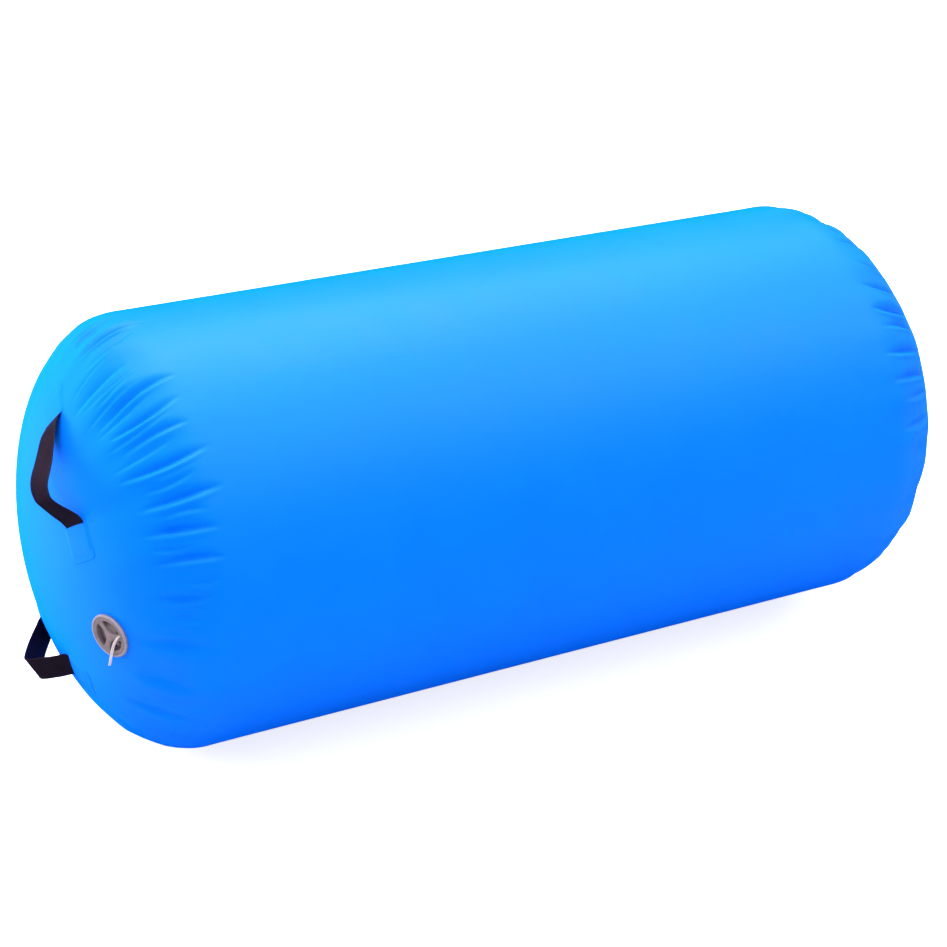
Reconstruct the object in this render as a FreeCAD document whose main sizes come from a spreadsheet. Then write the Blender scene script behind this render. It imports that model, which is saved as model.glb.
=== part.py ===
import FreeCAD, Part
import math
import os
import Sketcher
from FreeCAD import Placement, Rotation, Vector

# Inflatable gymnastics roll: an air-tight PVC cylinder 0.6 m in diameter with
# bulging end discs, webbing carry handles on both ends and one screw-capped
# inflation valve. Millimetres. +X runs along the roll from the valve end
# (near) to the far end, +Z is up, and the origin is on the floor under the middle.

doc = FreeCAD.newDocument("air_roll")

# ---------------------------------------------------------------- dimensions
# A "turn" is an angle in degrees round the roll from straight up, towards -Y
# at the near end; the far end has the mirrored turn. The "radius" beside it
# is measured from the roll's axis.
SIZES = {
    # inflated membrane
    "roll_radius": 300.0,
    "straight_half": 506.0,     # half length of the straight tube
    "cap_depth": 172.0,         # bulge of each end beyond the straight tube
    "skin": 1.0,                # PVC coated fabric
    "axis_height": 298.957,     # axis above the floor
    "seam_angle": 19.71,        # ellipse angle of the disc-to-wall seam
    "glue_line": 0.02,          # gap left between touching layers
    "tape_thick": 0.8,
    "tape_angle_low": 13.0,     # seam tape inside each end, as ellipse angles
    "tape_angle_high": 26.5,
    "lap_tape_width": 40.0,
    "lap_tape_length": 980.0,
    "lap_tape_turn": 222.0,
    # carry handles: a and b are the two feet of each loop
    "web_width": 40.0,
    "web_thick": 1.8,
    "tail_length": 42.0,
    "tail_start": -3.0,         # from the foot, along the tail
    "tail_gap": 0.2,            # room left round the tail under its patch
    "room_overrun": 20.0,       # opens that room towards the loop
    "patch_length": 50.0,
    "patch_width": 52.0,
    "patch_start": 1.5,         # from the foot, along the tail
    "patch_rise": 3.0,
    "patch_corner": 8.0,
    "block_height": 40.0,       # blocks that cut tails and patches from layers
    "pivot_rise": 5.0,          # ends of the loop above the skin
    "upper_a_turn": 8.0, "upper_a_radius": 197.0, "upper_a_twist": 8.7,
    "upper_b_turn": 52.5, "upper_b_radius": 169.0, "upper_b_twist": -14.1,
    "lower_a_turn": 199.0, "lower_a_radius": 148.0, "lower_a_twist": -7.5,
    "lower_b_turn": 152.5, "lower_b_radius": 150.0, "lower_b_twist": -23.5,
    "upper_rise": 33.5, "lower_rise": 37.0,
    "swing_room": 43.0,         # angle kept free under the sides of the loop
    # inflation valve: heights are along its own axis, from the skin outwards
    "valve_turn": 98.4, "valve_radius": 202.2,
    "skin_hole_r": 27.0,
    "ring_outer_r": 30.0, "ring_bore_r": 26.55, "ring_top": 3.2,
    "body_outer_r": 26.5, "body_bore_r": 24.1, "body_top": 0.9,
    "body_flange_r": 36.0, "body_flange_top": -6.0, "body_flange_low": -8.4,
    "gasket_inset": 0.6, "gasket_clear": 0.4,
    "cup_floor_top": -13.5, "cup_floor_low": -16.0,
    "throat_bore_r": 14.0, "throat_outer_r": 17.0, "seat_low": -32.0,
    "arm_top": -25.0, "arm_low": -28.0, "arm_width": 3.0,
    "hub_r": 6.0, "stem_hole_r": 3.05, "stem_r": 3.0,
    "cap_rim_r": 26.45, "cap_plug_r": 24.0, "cap_top": 3.0,
    "cap_rim_low": 1.0, "cap_plug_low": -11.3, "cap_bevel": 0.6,
    "cap_cavity_r": 11.5, "cap_cavity_top": -8.4,
    "pocket_floor": -5.2, "pocket_r": 21.4, "cap_hub_r": 6.4,
    "pocket_half_angle": 46.0,
    "pocket_inset": 24.0535,    # degrees lost per side from rim to hub
    "cap_turn_offset": 70.0,    # middle of the first pocket
    "pin_hole_r": 3.2, "pin_hole_at": 16.2, "pin_hole_low": -7.0,
    "pin_hole_angle": 27.0,     # either side of the pocket's middle
    "seal_in_r": 14.6, "seal_out_r": 22.4, "seal_top": -11.35, "seal_low": -13.45,
    "button_r": 5.2, "button_top": -14.2, "button_low": -17.0,
    "stem_low": -41.0,
    "diaphragm_r": 17.4, "diaphragm_top": -32.02, "diaphragm_low": -34.0,
    "plate_r": 13.5, "plate_low": -36.0, "plate_gap": 0.01,
    "clip_r": 5.6, "clip_low": -37.6, "clip_gap": 0.03,
    "spring_r": 4.3, "spring_wire_r": 0.5, "spring_pitch": 2.8, "spring_gap": 0.05,
    "cord_r": 2.3,
}
sheet = doc.addObject("Spreadsheet::Sheet", "Sizes")
for row, (alias, value) in enumerate(SIZES.items(), 1):
    sheet.set("A%d" % row, alias)
    sheet.set("B%d" % row, repr(value))
    sheet.setAlias("B%d" % row, alias)
doc.recompute()


def size(alias):
    """Value of one cell, read from the sheet."""
    return float(sheet.get(alias))


def number(text):
    """Value of a sum of products of sizes and numbers, written with spaces."""
    return sum(math.prod(size(factor.strip()) if factor.strip() in SIZES else float(factor)
                         for factor in term.split("*"))
               for term in text.replace("- ", "+ -1 * ").split("+ "))


def sheet_text(text):
    """Expression text with bare aliases turned into sheet references."""
    result, word = "", ""
    for letter in text + " ":
        if letter.isalnum() or letter == "_":
            word += letter
        else:
            result += ("Sizes." + word if word in SIZES else word) + letter
            word = ""
    return result.strip()


def bind(obj, **expressions):
    """Bind properties to expressions; __ in a property name stands for a dot."""
    for prop, text in expressions.items():
        obj.setExpression(prop.replace("__", "."), sheet_text(text))
    return obj


PARTS = {}


def part(name, obj):
    """Label a finished piece and list it for export."""
    obj.Label = name
    PARTS[name] = obj


# ---------------------------------------------------------------- placements
def shift(x, y, z):
    return Placement(Vector(x, y, z), Rotation())


def frame(x_axis, z_axis, origin):
    """Placement with local Z along z_axis and local X as near x_axis as it goes."""
    z = Vector(z_axis).normalize()
    x = (x_axis - z * x_axis.dot(z)).normalize()
    y = z.cross(x)
    return Placement(FreeCAD.Matrix(x.x, y.x, z.x, origin.x,
                                    x.y, y.y, z.y, origin.y,
                                    x.z, y.z, z.z, origin.z,
                                    0, 0, 0, 1))


def on_dome(turn, radius, side):
    """Point and outward normal of an end surface; turn in degrees from
    straight up towards -Y, radius from the roll's axis."""
    roll_radius, depth = size("roll_radius"), size("cap_depth")
    angle = math.radians(turn)
    bulge = math.sqrt(1.0 - (radius / roll_radius) ** 2)
    point = Vector(side * (size("straight_half") + depth * bulge),
                   -radius * math.sin(angle),
                   size("axis_height") + radius * math.cos(angle))
    spread = radius / roll_radius ** 2
    normal = Vector(side * bulge / depth, -spread * math.sin(angle), spread * math.cos(angle))
    return point, normal.normalize()


def polar(radius, degrees):
    angle = math.radians(degrees)
    return Vector(radius * math.cos(angle), radius * math.sin(angle), 0)


# -------------------------------------------------------------- solid helpers
def cylinder(name, radius, height):
    return bind(doc.addObject("Part::Cylinder", name), Radius=radius, Height=height)


def box(name, length, width, height):
    return bind(doc.addObject("Part::Box", name), Length=length, Width=width, Height=height)


def boolean(kind, name, base, tool):
    result = doc.addObject(kind, name)
    result.Base = base
    result.Tool = tool
    return result


def cut(name, base, tool):
    return boolean("Part::Cut", name, base, tool)


def common(name, base, tool):
    return boolean("Part::Common", name, base, tool)


def fuse(name, shapes):
    result = doc.addObject("Part::MultiFuse", name)
    result.Shapes = shapes
    result.Refine = False
    return result


def dome(name, side, grow="0", low="0", high="90"):
    """Solid of one bulging end between two ellipse angles; grow offsets the
    surface outwards."""
    solid = doc.addObject("Part::Ellipsoid", name)
    radius = "roll_radius + (%s)" % grow
    bind(solid, Radius1="cap_depth + (%s)" % grow, Radius2=radius, Radius3=radius,
         Angle1=low, Angle2=high)
    solid.Placement = Placement(Vector(), Rotation(Vector(0, 0, 1), Vector(side, 0, 0)))
    return bind(solid, Placement__Base__x="%d * straight_half" % side,
                Placement__Base__z="axis_height")


# ------------------------------------------------------------- sketch helpers
def sketch_on(body, name, role):
    """New sketch on the body's origin plane that has this role."""
    plane = next(item for item in body.Origin.OriginFeatures if item.Role == role)
    sketch = body.newObject("Sketcher::SketchObject", name)
    sketch.AttachmentSupport = [(plane, "")]
    sketch.MapMode = "FlatFace"
    return sketch


def constrain(sketch, *arguments, to=None):
    """Add a constraint, its value bound to an expression if one is given."""
    index = sketch.addConstraint(Sketcher.Constraint(*arguments))
    if to is not None:
        sketch.setExpression("Constraints[%d]" % index, sheet_text(to))


def closed_loop(sketch, points):
    """Joined lines through the (x, y) points; returns the line indices."""
    corners = [Vector(x, y, 0) for x, y in points]
    following = corners[1:] + corners[:1]
    lines = [sketch.addGeometry(Part.LineSegment(start, end), False)
             for start, end in zip(corners, following)]
    for line, after in zip(lines, lines[1:] + lines[:1]):
        constrain(sketch, "Coincident", line, 2, after, 1)
    return lines


def polygon(sketch, points):
    """Closed polygon whose corners are bound to the sheet, (x, y) as text."""
    values = [(number(x), number(y)) for x, y in points]
    for line, corner, texts in zip(closed_loop(sketch, values), values, points):
        for value, text, kind, zero_axis in zip(corner, texts, ("DistanceX", "DistanceY"),
                                                (-2, -1)):
            if abs(value) < 1e-9:
                constrain(sketch, "PointOnObject", line, 1, zero_axis)
            else:
                has_alias = any(letter.isalpha() for letter in text)
                constrain(sketch, kind, -1, 1, line, 1, value, to=text if has_alias else None)


def revolved(name, points, placement=Placement()):
    """Body turned about its own Z axis from (radius, height) corners."""
    body = doc.addObject("PartDesign::Body", name + "_body")
    profile = sketch_on(body, name + "_profile", "XZ_Plane")
    polygon(profile, points)
    turned = body.newObject("PartDesign::Revolution", name + "_turned")
    turned.Profile = profile
    turned.ReferenceAxis = (profile, ["V_Axis"])
    turned.Angle = 360.0
    body.Tip = turned
    body.Placement = placement
    return body


def blind_pocket(body, profile, name, depth):
    pocket = body.newObject("PartDesign::Pocket", name)
    pocket.Profile = profile
    pocket.Type = "Length"
    return bind(pocket, Length=depth)


def require_cut(before, feature, least):
    """Stop if a feature left more than the volume before, less the least cut."""
    if not feature.Shape.Volume < before - least:
        raise RuntimeError("%s removed too little" % feature.Name)


# ----------------------------------------------------------------- membrane
ENDS = {"near": -1, "far": 1}   # side of each end along X

valve_point, valve_normal = on_dome(size("valve_turn"), size("valve_radius"), ENDS["near"])
VALVE = frame(Vector(0, 0, 1).cross(valve_normal), valve_normal, valve_point)


def tube(name, radius):
    """Straight cylinder along the roll."""
    solid = cylinder(name, radius, "2 * straight_half")
    solid.Placement = Placement(Vector(), Rotation(Vector(0, 0, 1), Vector(1, 0, 0)))
    return bind(solid, Placement__Base__x="-straight_half", Placement__Base__z="axis_height")


def floor_box(name, top):
    """Block under the roll, longer than it, with its top at the given height."""
    block = box(name, "2 * straight_half + 400", "400", "60")
    return bind(block, Placement__Base__x="-straight_half - 200", Placement__Base__y="-200",
                Placement__Base__z="(%s) - 60" % top)


def side_wall():
    """Tube with both shoulders; a 50 mm wide strip lies flat on the floor."""
    outer = fuse("wall_outer", [tube("tube_out", "roll_radius"),
                                dome("shoulder_near", -1, "0", "0", "seam_angle"),
                                dome("shoulder_far", 1, "0", "0", "seam_angle")])
    # the hollow runs one degree past the seam so that the wall's edge is open
    inner = fuse("wall_inner", [tube("tube_in", "roll_radius - skin"),
                                dome("shoulder_near_in", -1, "-skin", "0", "seam_angle + 1"),
                                dome("shoulder_far_in", 1, "-skin", "0", "seam_angle + 1")])
    return cut("side_wall_skin",
               cut("wall_outer_flat", outer, floor_box("floor_cut_out", "0")),
               cut("wall_inner_flat", inner, floor_box("floor_cut_in", "skin")))


def end_disc(word):
    side = ENDS[word]
    return cut(word + "_disc_skin", dome(word + "_disc_out", side, "0", "seam_angle", "90"),
               dome(word + "_disc_in", side, "-skin"))


def pierced_near_disc():
    hole = cylinder("valve_hole", "skin_hole_r", "60")
    hole.Placement = VALVE * shift(0, 0, -30)
    return cut("near_disc_pierced", end_disc("near"), hole)


def seam_tape(word):
    """Ring of tape inside the seam between disc and wall."""
    side = ENDS[word]
    return cut(word + "_tape_ring",
               dome(word + "_tape_out", side, "-skin - glue_line",
                    "tape_angle_low", "tape_angle_high"),
               dome(word + "_tape_in", side, "-skin - glue_line - tape_thick"))


def lap_tape():
    """Straight tape inside the tube along its lap seam."""
    shell = cut("lap_shell",
                cylinder("lap_out", "roll_radius - skin - glue_line", "lap_tape_length"),
                cylinder("lap_in", "roll_radius - skin - glue_line - tape_thick",
                         "lap_tape_length"))
    # the block spans the shell from 40 mm inside the roll's radius to 20 mm outside
    block = box("lap_block", "60", "lap_tape_width", "lap_tape_length")
    bind(block, Placement__Base__x="roll_radius - 40", Placement__Base__y="-lap_tape_width / 2")
    strip = common("lap_strip", shell, block)
    # local Z along the roll, local X pointing at the seam's place round the tube
    turn = math.radians(size("lap_tape_turn"))
    strip.Placement = frame(Vector(0, -math.sin(turn), math.cos(turn)), Vector(1, 0, 0),
                            Vector(-size("lap_tape_length") / 2, 0, size("axis_height")))
    return strip


part("side_wall", side_wall())
part("near_end_disc", pierced_near_disc())
part("far_end_disc", end_disc("far"))
for word in ENDS:
    part(word + "_seam_tape", seam_tape(word))
part("lap_seam_tape", lap_tape())

# ------------------------------------------------------------ carry handles
# Centre line of a relaxed loop: (fraction of its chord, fraction of its rise).
LOOPS = {
    "upper": [(-0.5, 0.0), (-0.45, 0.13), (-0.40, 0.25), (-0.25, 0.46),
              (-0.109, 0.65), (0.0, 0.81), (0.119, 0.96), (0.19, 1.0),
              (0.257, 0.97), (0.345, 0.76), (0.43, 0.42), (0.5, 0.0)],
    "lower": [(-0.5, 0.0), (-0.38, 0.07), (-0.266, 0.12), (-0.18, 0.19),
              (-0.12, 0.34), (-0.06, 0.78), (-0.02, 0.97), (0.03, 1.0),
              (0.12, 0.86), (0.289, 0.5), (0.40, 0.27), (0.5, 0.0)],
}
# Cuts beside the loop's feet, across the webbing and from the line of its ends
NECK_HALF = 0.6         # half width left uncut at the middle
FEET_CUT_HALF = 26.0    # beyond the webbing's edge
FEET_CUT_LOW = -6.0


def ribbon_corners(level, chord):
    """Corners of the webbing round a loop's centre line, as expressions."""
    line = LOOPS[level]
    points = [(along * chord, up * size(level + "_rise")) for along, up in line]
    last = len(points) - 1
    sides = {1: [], -1: []}
    for i, (x, y) in enumerate(points):
        before, after = points[max(i - 1, 0)], points[min(i + 1, last)]
        run, climb = after[0] - before[0], after[1] - before[1]
        length = math.hypot(run, climb)
        for sign, corners in sides.items():
            corners.append(("%.4f + %.5f * web_thick" % (x, -sign * climb / length / 2),
                            "%.4f * %s_rise + %.5f * web_thick"
                            % (line[i][1], level, sign * run / length / 2)))
    return sides[1] + sides[-1][::-1]


def handle_loop(tag, level, chord, placement):
    """Webbing bent into an arch, narrowed towards its feet."""
    body = doc.addObject("PartDesign::Body", tag + "_loop_body")
    profile = sketch_on(body, tag + "_loop_profile", "XZ_Plane")
    polygon(profile, ribbon_corners(level, chord))
    band = body.newObject("PartDesign::Pad", tag + "_loop_band")
    band.Profile = profile
    band.Midplane = True
    bind(band, Length="web_width")
    doc.recompute()
    full_volume = band.Shape.Volume

    wedges = sketch_on(body, tag + "_feet_profile", "YZ_Plane")
    slope = math.tan(math.radians(size("swing_room")))
    for sign in (1, -1):
        closed_loop(wedges, [(sign * NECK_HALF, FEET_CUT_LOW),
                             (sign * FEET_CUT_HALF, FEET_CUT_LOW),
                             (sign * FEET_CUT_HALF, FEET_CUT_HALF * slope),
                             (sign * NECK_HALF, NECK_HALF * slope)])
    feet = body.newObject("PartDesign::Pocket", tag + "_feet")
    feet.Profile = wedges
    feet.Type = "ThroughAll"
    feet.Midplane = True
    body.Tip = feet
    body.Placement = placement
    doc.recompute()
    require_cut(full_volume, feet, least=10)
    return body


def foot_block(name, foot, start, length, width):
    """Block centred across the foot and through the skin, from start along it."""
    block = box(name, length, width, "block_height")
    block.Placement = foot * shift(number(start), -number(width) / 2, -size("block_height") / 2)
    return block


def layer(stem, side, top):
    """Shell on the end surface from the glue line up to top."""
    return cut(stem + "_layer", dome(stem + "_hi", side, top),
               dome(stem + "_lo", side, "glue_line"))


def handle_tail(tag, end, side, foot):
    """Fixed tail of the webbing, lying on the end surface."""
    stem = "%s_tail_%s" % (tag, end)
    slab = foot_block(stem, foot, "tail_start", "tail_length", "web_width")
    return common(stem + "_web", layer(stem, side, "glue_line + web_thick"), slab)


def handle_patch(tag, end, side, foot):
    """Round-cornered patch welded over a tail, hollowed to take it."""
    stem = "%s_patch_%s" % (tag, end)
    plate = foot_block(stem, foot, "patch_start", "patch_length", "patch_width")
    doc.recompute()
    normal = foot.Rotation.multVec(Vector(0, 0, 1))
    corner = size("patch_corner")
    edges = []
    for index, edge in enumerate(plate.Shape.Edges, 1):
        direction = edge.Vertexes[1].Point - edge.Vertexes[0].Point
        if abs(abs(direction.dot(normal)) - direction.Length) < 1e-6:
            edges.append((index, corner, corner))
    rounded = doc.addObject("Part::Fillet", stem + "_plan")
    rounded.Base = plate
    rounded.Edges = edges

    room_stem = "%s_room_%s" % (tag, end)
    room = foot_block(room_stem, foot, "tail_start - tail_gap - room_overrun",
                      "tail_length + 2 * tail_gap + room_overrun", "web_width + 2 * tail_gap")
    tail_room = common(room_stem + "_layer",
                       dome(room_stem + "_hi", side, "2 * glue_line + web_thick"), room)
    full = common(stem + "_full", layer(stem, side, "patch_rise"), rounded)
    return cut(stem + "_sheet", full, tail_room)


def compound_part(name, pieces):
    group = doc.addObject("Part::Compound", name + "_pair")
    group.Links = pieces
    part(name, group)


def carry_handle(word, level):
    """Loop, tails and patches; the far end's are the near end's turned half
    round the Z axis."""
    side = ENDS[word]
    tag = "%s_%s_handle" % (word, level)
    (point_a, normal_a), (point_b, normal_b) = [
        on_dome(-side * size("%s_%s_turn" % (level, end)),
                size("%s_%s_radius" % (level, end)), side)
        for end in "ab"]
    pivot_a = point_a + normal_a * size("pivot_rise")
    pivot_b = point_b + normal_b * size("pivot_rise")
    chord = (pivot_b - pivot_a).Length
    along = (pivot_b - pivot_a).normalize()
    outward = normal_a + normal_b
    outward = (outward - along * outward.dot(along)).normalize()
    placement = frame(along, outward, (pivot_a + pivot_b) * 0.5)
    part(tag + "_loop", handle_loop(tag, level, chord, placement))

    tails, patches = [], []
    for end, point, normal, sign in (("a", point_a, normal_a, -1), ("b", point_b, normal_b, 1)):
        # the tail runs a little askew of the line between the feet
        away = along * sign
        away = away - normal * away.dot(normal)
        away = Rotation(normal, size("%s_%s_twist" % (level, end))).multVec(away)
        foot = frame(away, normal, point)
        tails.append(handle_tail(tag, end, side, foot))
        patches.append(handle_patch(tag, end, side, foot))
    compound_part(tag + "_ends", tails)
    compound_part(tag + "_patches", patches)


for word in ENDS:
    for level in LOOPS:
        carry_handle(word, level)


# ----------------------------------------------------------- inflation valve
def valve_housing():
    """Flanged cup and throat, with a three-armed spider that guides the stem."""
    shell = revolved("valve_body", [
        ("body_bore_r", "body_top"), ("body_outer_r", "body_top"),
        ("body_outer_r", "body_flange_top"), ("body_flange_r", "body_flange_top"),
        ("body_flange_r", "body_flange_low"), ("body_outer_r", "body_flange_low"),
        ("body_outer_r", "cup_floor_low"), ("throat_outer_r", "cup_floor_low"),
        ("throat_outer_r", "seat_low"), ("throat_bore_r", "seat_low"),
        ("throat_bore_r", "cup_floor_top"), ("body_bore_r", "cup_floor_top")])
    arms = []
    for i in range(3):
        # each arm runs 1 mm into the throat's wall
        arm = box("spider_arm_%d" % i, "throat_bore_r + 1", "arm_width", "arm_top - arm_low")
        arm.Placement = (Placement(Vector(), Rotation(Vector(0, 0, 1), 30 + 120 * i))
                         * shift(0, -size("arm_width") / 2, size("arm_low")))
        arms.append(arm)
    hub = bind(cylinder("spider_hub", "hub_r", "arm_top - arm_low"),
               Placement__Base__z="arm_low")
    stem_hole = bind(cylinder("spider_hole", "stem_hole_r", "20"),
                     Placement__Base__z="arm_low - 5")
    spider = cut("spider_bored", fuse("spider", arms + [hub]), stem_hole)
    housing = fuse("valve_housing", [shell, spider])
    housing.Placement = VALVE
    return housing


def gasket():
    """Rubber ring between the housing's flange and the inside of the disc."""
    ring = cut("gasket_ring",
               cylinder("gasket_out", "body_flange_r - gasket_inset", "12"),
               cylinder("gasket_in", "body_outer_r + gasket_clear", "12"))
    ring.Placement = VALVE * shift(0, 0, size("body_flange_top") + size("glue_line"))
    return common("gasket_fitted", ring, dome("gasket_trim", -1, "-skin - glue_line"))


def lock_ring():
    """Visible rim with bevelled top edges, its underside fitted to the disc."""
    ring = revolved("valve_lock_ring", [
        ("ring_bore_r", "-5"), ("ring_bore_r", "ring_top - 0.5"),
        ("ring_bore_r + 0.5", "ring_top"), ("ring_outer_r - 1.4", "ring_top"),
        ("ring_outer_r - 0.4", "ring_top - 0.5"), ("ring_outer_r", "ring_top - 1.5"),
        ("ring_outer_r", "-5")], VALVE)
    return cut("valve_lock_ring_fitted", ring, dome("lock_trim", -1, "glue_line"))


def finger_pocket_plan(cap):
    """Sector-like outline between the cap's hub and rim."""
    plan = sketch_on(cap, "finger_pocket_plan", "XY_Plane")
    bind(plan, AttachmentOffset__Base__z="cap_top")
    middle, half = size("cap_turn_offset"), size("pocket_half_angle")

    def arc(radius, half_angle):
        circle = Part.Circle(Vector(), Vector(0, 0, 1), radius)
        return Part.ArcOfCircle(circle, math.radians(middle - half_angle),
                                math.radians(middle + half_angle))

    hub_radius, rim_radius = size("cap_hub_r"), size("pocket_r")
    hub_half = half - size("pocket_inset")
    rim_arc = plan.addGeometry(arc(rim_radius, half), False)
    end_side = plan.addGeometry(Part.LineSegment(polar(rim_radius, middle + half),
                                                 polar(hub_radius, middle + hub_half)), False)
    hub_arc = plan.addGeometry(arc(hub_radius, hub_half), False)
    start_side = plan.addGeometry(Part.LineSegment(polar(hub_radius, middle - hub_half),
                                                   polar(rim_radius, middle - half)), False)
    for curve in (rim_arc, hub_arc):
        constrain(plan, "Coincident", curve, 3, -1, 1)
    constrain(plan, "Coincident", rim_arc, 2, end_side, 1)
    constrain(plan, "Coincident", end_side, 2, hub_arc, 2)
    constrain(plan, "Coincident", hub_arc, 1, start_side, 1)
    constrain(plan, "Coincident", start_side, 2, rim_arc, 1)
    constrain(plan, "Radius", rim_arc, rim_radius, to="pocket_r")
    constrain(plan, "Radius", hub_arc, hub_radius, to="cap_hub_r")
    return plan


def key_hole_plan(cap):
    """Two circles in the floor of the lowest pocket."""
    plan = sketch_on(cap, "key_hole_plan", "XY_Plane")
    bind(plan, AttachmentOffset__Base__z="pocket_floor")
    radius = size("pin_hole_r")
    for sign in (-1, 1):
        centre = polar(size("pin_hole_at"),
                       size("cap_turn_offset") + 240 + sign * size("pin_hole_angle"))
        circle = plan.addGeometry(Part.Circle(centre, Vector(0, 0, 1), radius), False)
        constrain(plan, "Radius", circle, radius, to="pin_hole_r")
        constrain(plan, "DistanceX", -1, 1, circle, 3, centre.x)
        constrain(plan, "DistanceY", -1, 1, circle, 3, centre.y)
    return plan


def valve_cap():
    """Plug with a rim; three pockets leave three finger spokes."""
    cap = revolved("valve_cap", [
        ("0", "cap_top - cap_bevel"), ("cap_hub_r", "cap_top - cap_bevel"),
        ("pocket_r - 1", "cap_top - cap_bevel"), ("pocket_r + 0.6", "cap_top"),
        ("cap_rim_r - cap_bevel", "cap_top"), ("cap_rim_r", "cap_top - cap_bevel"),
        ("cap_rim_r", "cap_rim_low"), ("cap_plug_r", "cap_rim_low"),
        ("cap_plug_r", "cap_plug_low"), ("cap_cavity_r", "cap_plug_low"),
        ("cap_cavity_r", "cap_cavity_top"), ("0", "cap_cavity_top")])
    doc.recompute()
    solid_volume = cap.Shape.Volume

    plan = finger_pocket_plan(cap)
    finger = blind_pocket(cap, plan, "finger_pocket", "cap_top - pocket_floor")
    doc.recompute()
    fan = cap.newObject("PartDesign::PolarPattern", "finger_pockets")
    fan.Originals = [finger]
    fan.Axis = (plan, ["N_Axis"])
    fan.Angle = 360.0
    fan.Occurrences = 3
    cap.Tip = fan
    doc.recompute()
    require_cut(solid_volume, finger, least=37)
    require_cut(solid_volume, fan, least=2.7 * (solid_volume - finger.Shape.Volume))

    fan_volume = fan.Shape.Volume
    key_holes = blind_pocket(cap, key_hole_plan(cap), "key_holes", "pocket_floor - pin_hole_low")
    cap.Tip = key_holes
    doc.recompute()
    require_cut(fan_volume, key_holes, least=20)
    cap.Placement = VALVE
    return cap


def valve_spring():
    """Return spring round the stem, between the spider and the button."""
    coil = doc.addObject("PartDesign::Body", "valve_spring_body")
    wire = sketch_on(coil, "spring_wire", "XZ_Plane")
    radius, wire_radius = size("spring_r"), size("spring_wire_r")
    circle = wire.addGeometry(Part.Circle(Vector(radius, 0, 0), Vector(0, 0, 1), wire_radius),
                              False)
    constrain(wire, "PointOnObject", circle, 3, -1)
    constrain(wire, "DistanceX", -1, 1, circle, 3, radius, to="spring_r")
    constrain(wire, "Radius", circle, wire_radius, to="spring_wire_r")
    turns = coil.newObject("PartDesign::AdditiveHelix", "spring_turns")
    turns.Profile = wire
    turns.ReferenceAxis = (wire, ["V_Axis"])
    turns.Mode = 0  # driven by pitch and height
    bind(turns, Pitch="spring_pitch",
         Height="button_low - arm_top - 2 * spring_wire_r - 2 * spring_gap")
    coil.Tip = turns
    coil.Placement = VALVE * shift(0, 0, size("arm_top") + wire_radius + size("spring_gap"))
    return coil


# Centre line of the cord in the valve's frame, from a spoke's end over the rim
CORD_PATH = [
    (20.6, 7.6, 5.5), (18.8, 3.6, 8.6), (15.6, -4.0, 10.6), (11.6, -14.0, 10.8),
    (6.4, -25.0, 9.4), (0.4, -35.5, 6.4), (-6.0, -46.0, 3.6),
]


def cap_cord():
    """Cord standing on a spoke. Its path has no plane and no straight run, so
    it is a swept Part shape."""
    path = [Vector(*point) for point in CORD_PATH]
    radius = size("cord_r")
    spline = Part.BSplineCurve()
    spline.interpolate(path)
    spine = Part.Wire([spline.toShape()])
    tangent = spline.tangent(spline.FirstParameter)[0]
    ring = Part.Wire([Part.makeCircle(radius, path[0], tangent)])
    pipe = spine.makePipeShell([ring], True, False)
    foot_base = Vector(path[0].x, path[0].y, size("cap_top") + size("glue_line"))
    foot = Part.makeCylinder(radius * 0.8, 2.6, foot_base, Vector(0, 0, 1))
    cord = doc.addObject("Part::Feature", "cord_shape")
    cord.Shape = pipe.fuse(foot)
    cord.Placement = VALVE
    return cord


# Plain turned pieces of the valve: (radius, height) corners
TURNED = {
    "cap_seal": [
        ("seal_in_r", "seal_top"), ("seal_out_r", "seal_top"),
        ("seal_out_r", "seal_low"), ("seal_in_r", "seal_low")],
    "valve_stem": [
        ("0", "button_top"), ("button_r - 1", "button_top"), ("button_r", "button_top - 1"),
        ("button_r", "button_low"), ("stem_r", "button_low"), ("stem_r", "stem_low"),
        ("0", "stem_low")],
    "stem_clip": [
        ("stem_r + clip_gap", "plate_low - clip_gap"), ("clip_r", "plate_low - clip_gap"),
        ("clip_r", "clip_low"), ("stem_r + clip_gap", "clip_low")],
    "diaphragm_seal": [
        ("stem_hole_r", "diaphragm_top"), ("diaphragm_r", "diaphragm_top"),
        ("diaphragm_r", "diaphragm_low"), ("stem_hole_r", "diaphragm_low")],
    "diaphragm_plate": [
        ("stem_hole_r", "diaphragm_low - plate_gap"), ("plate_r", "diaphragm_low - plate_gap"),
        ("plate_r", "plate_low"), ("stem_hole_r", "plate_low")],
}

part("valve_body", valve_housing())
part("valve_gasket", gasket())
part("valve_lock_ring", lock_ring())
part("valve_cap", valve_cap())
for name, corners in TURNED.items():
    part(name, revolved(name, corners, VALVE))
part("valve_spring", valve_spring())
part("cap_cord", cap_cord())

# -------------------------------------------------------------- write it out
doc.recompute()
bad = ["%s %s" % (obj.Name, obj.State) for obj in doc.Objects
       if "Invalid" in obj.State or "Error" in obj.State]
for name, obj in PARTS.items():
    shape = obj.Shape
    if shape.isNull() or not shape.isValid() or not shape.Solids:
        bad.append("%s shape" % name)
if bad:
    raise RuntimeError("; ".join(bad))
os.makedirs("parts", exist_ok=True)
for name, obj in PARTS.items():
    obj.Shape.exportStep(os.path.join("parts", name + ".step"))
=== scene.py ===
"""A PVC fabric roll with bulged ends, a capped valve in its near end and two
webbing carry handles on each end.

Metres. The roll's axis runs along x at height AXIS_Z, over a floor at z = 0. The near
end is at -x (side -1), the far end at +x (side 1), and the camera stands towards -y.
A "turn" is the angle about the axis, from the top towards -y. An "arc" is the length
along the skin from the tip of an end.
"""
import math

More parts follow.
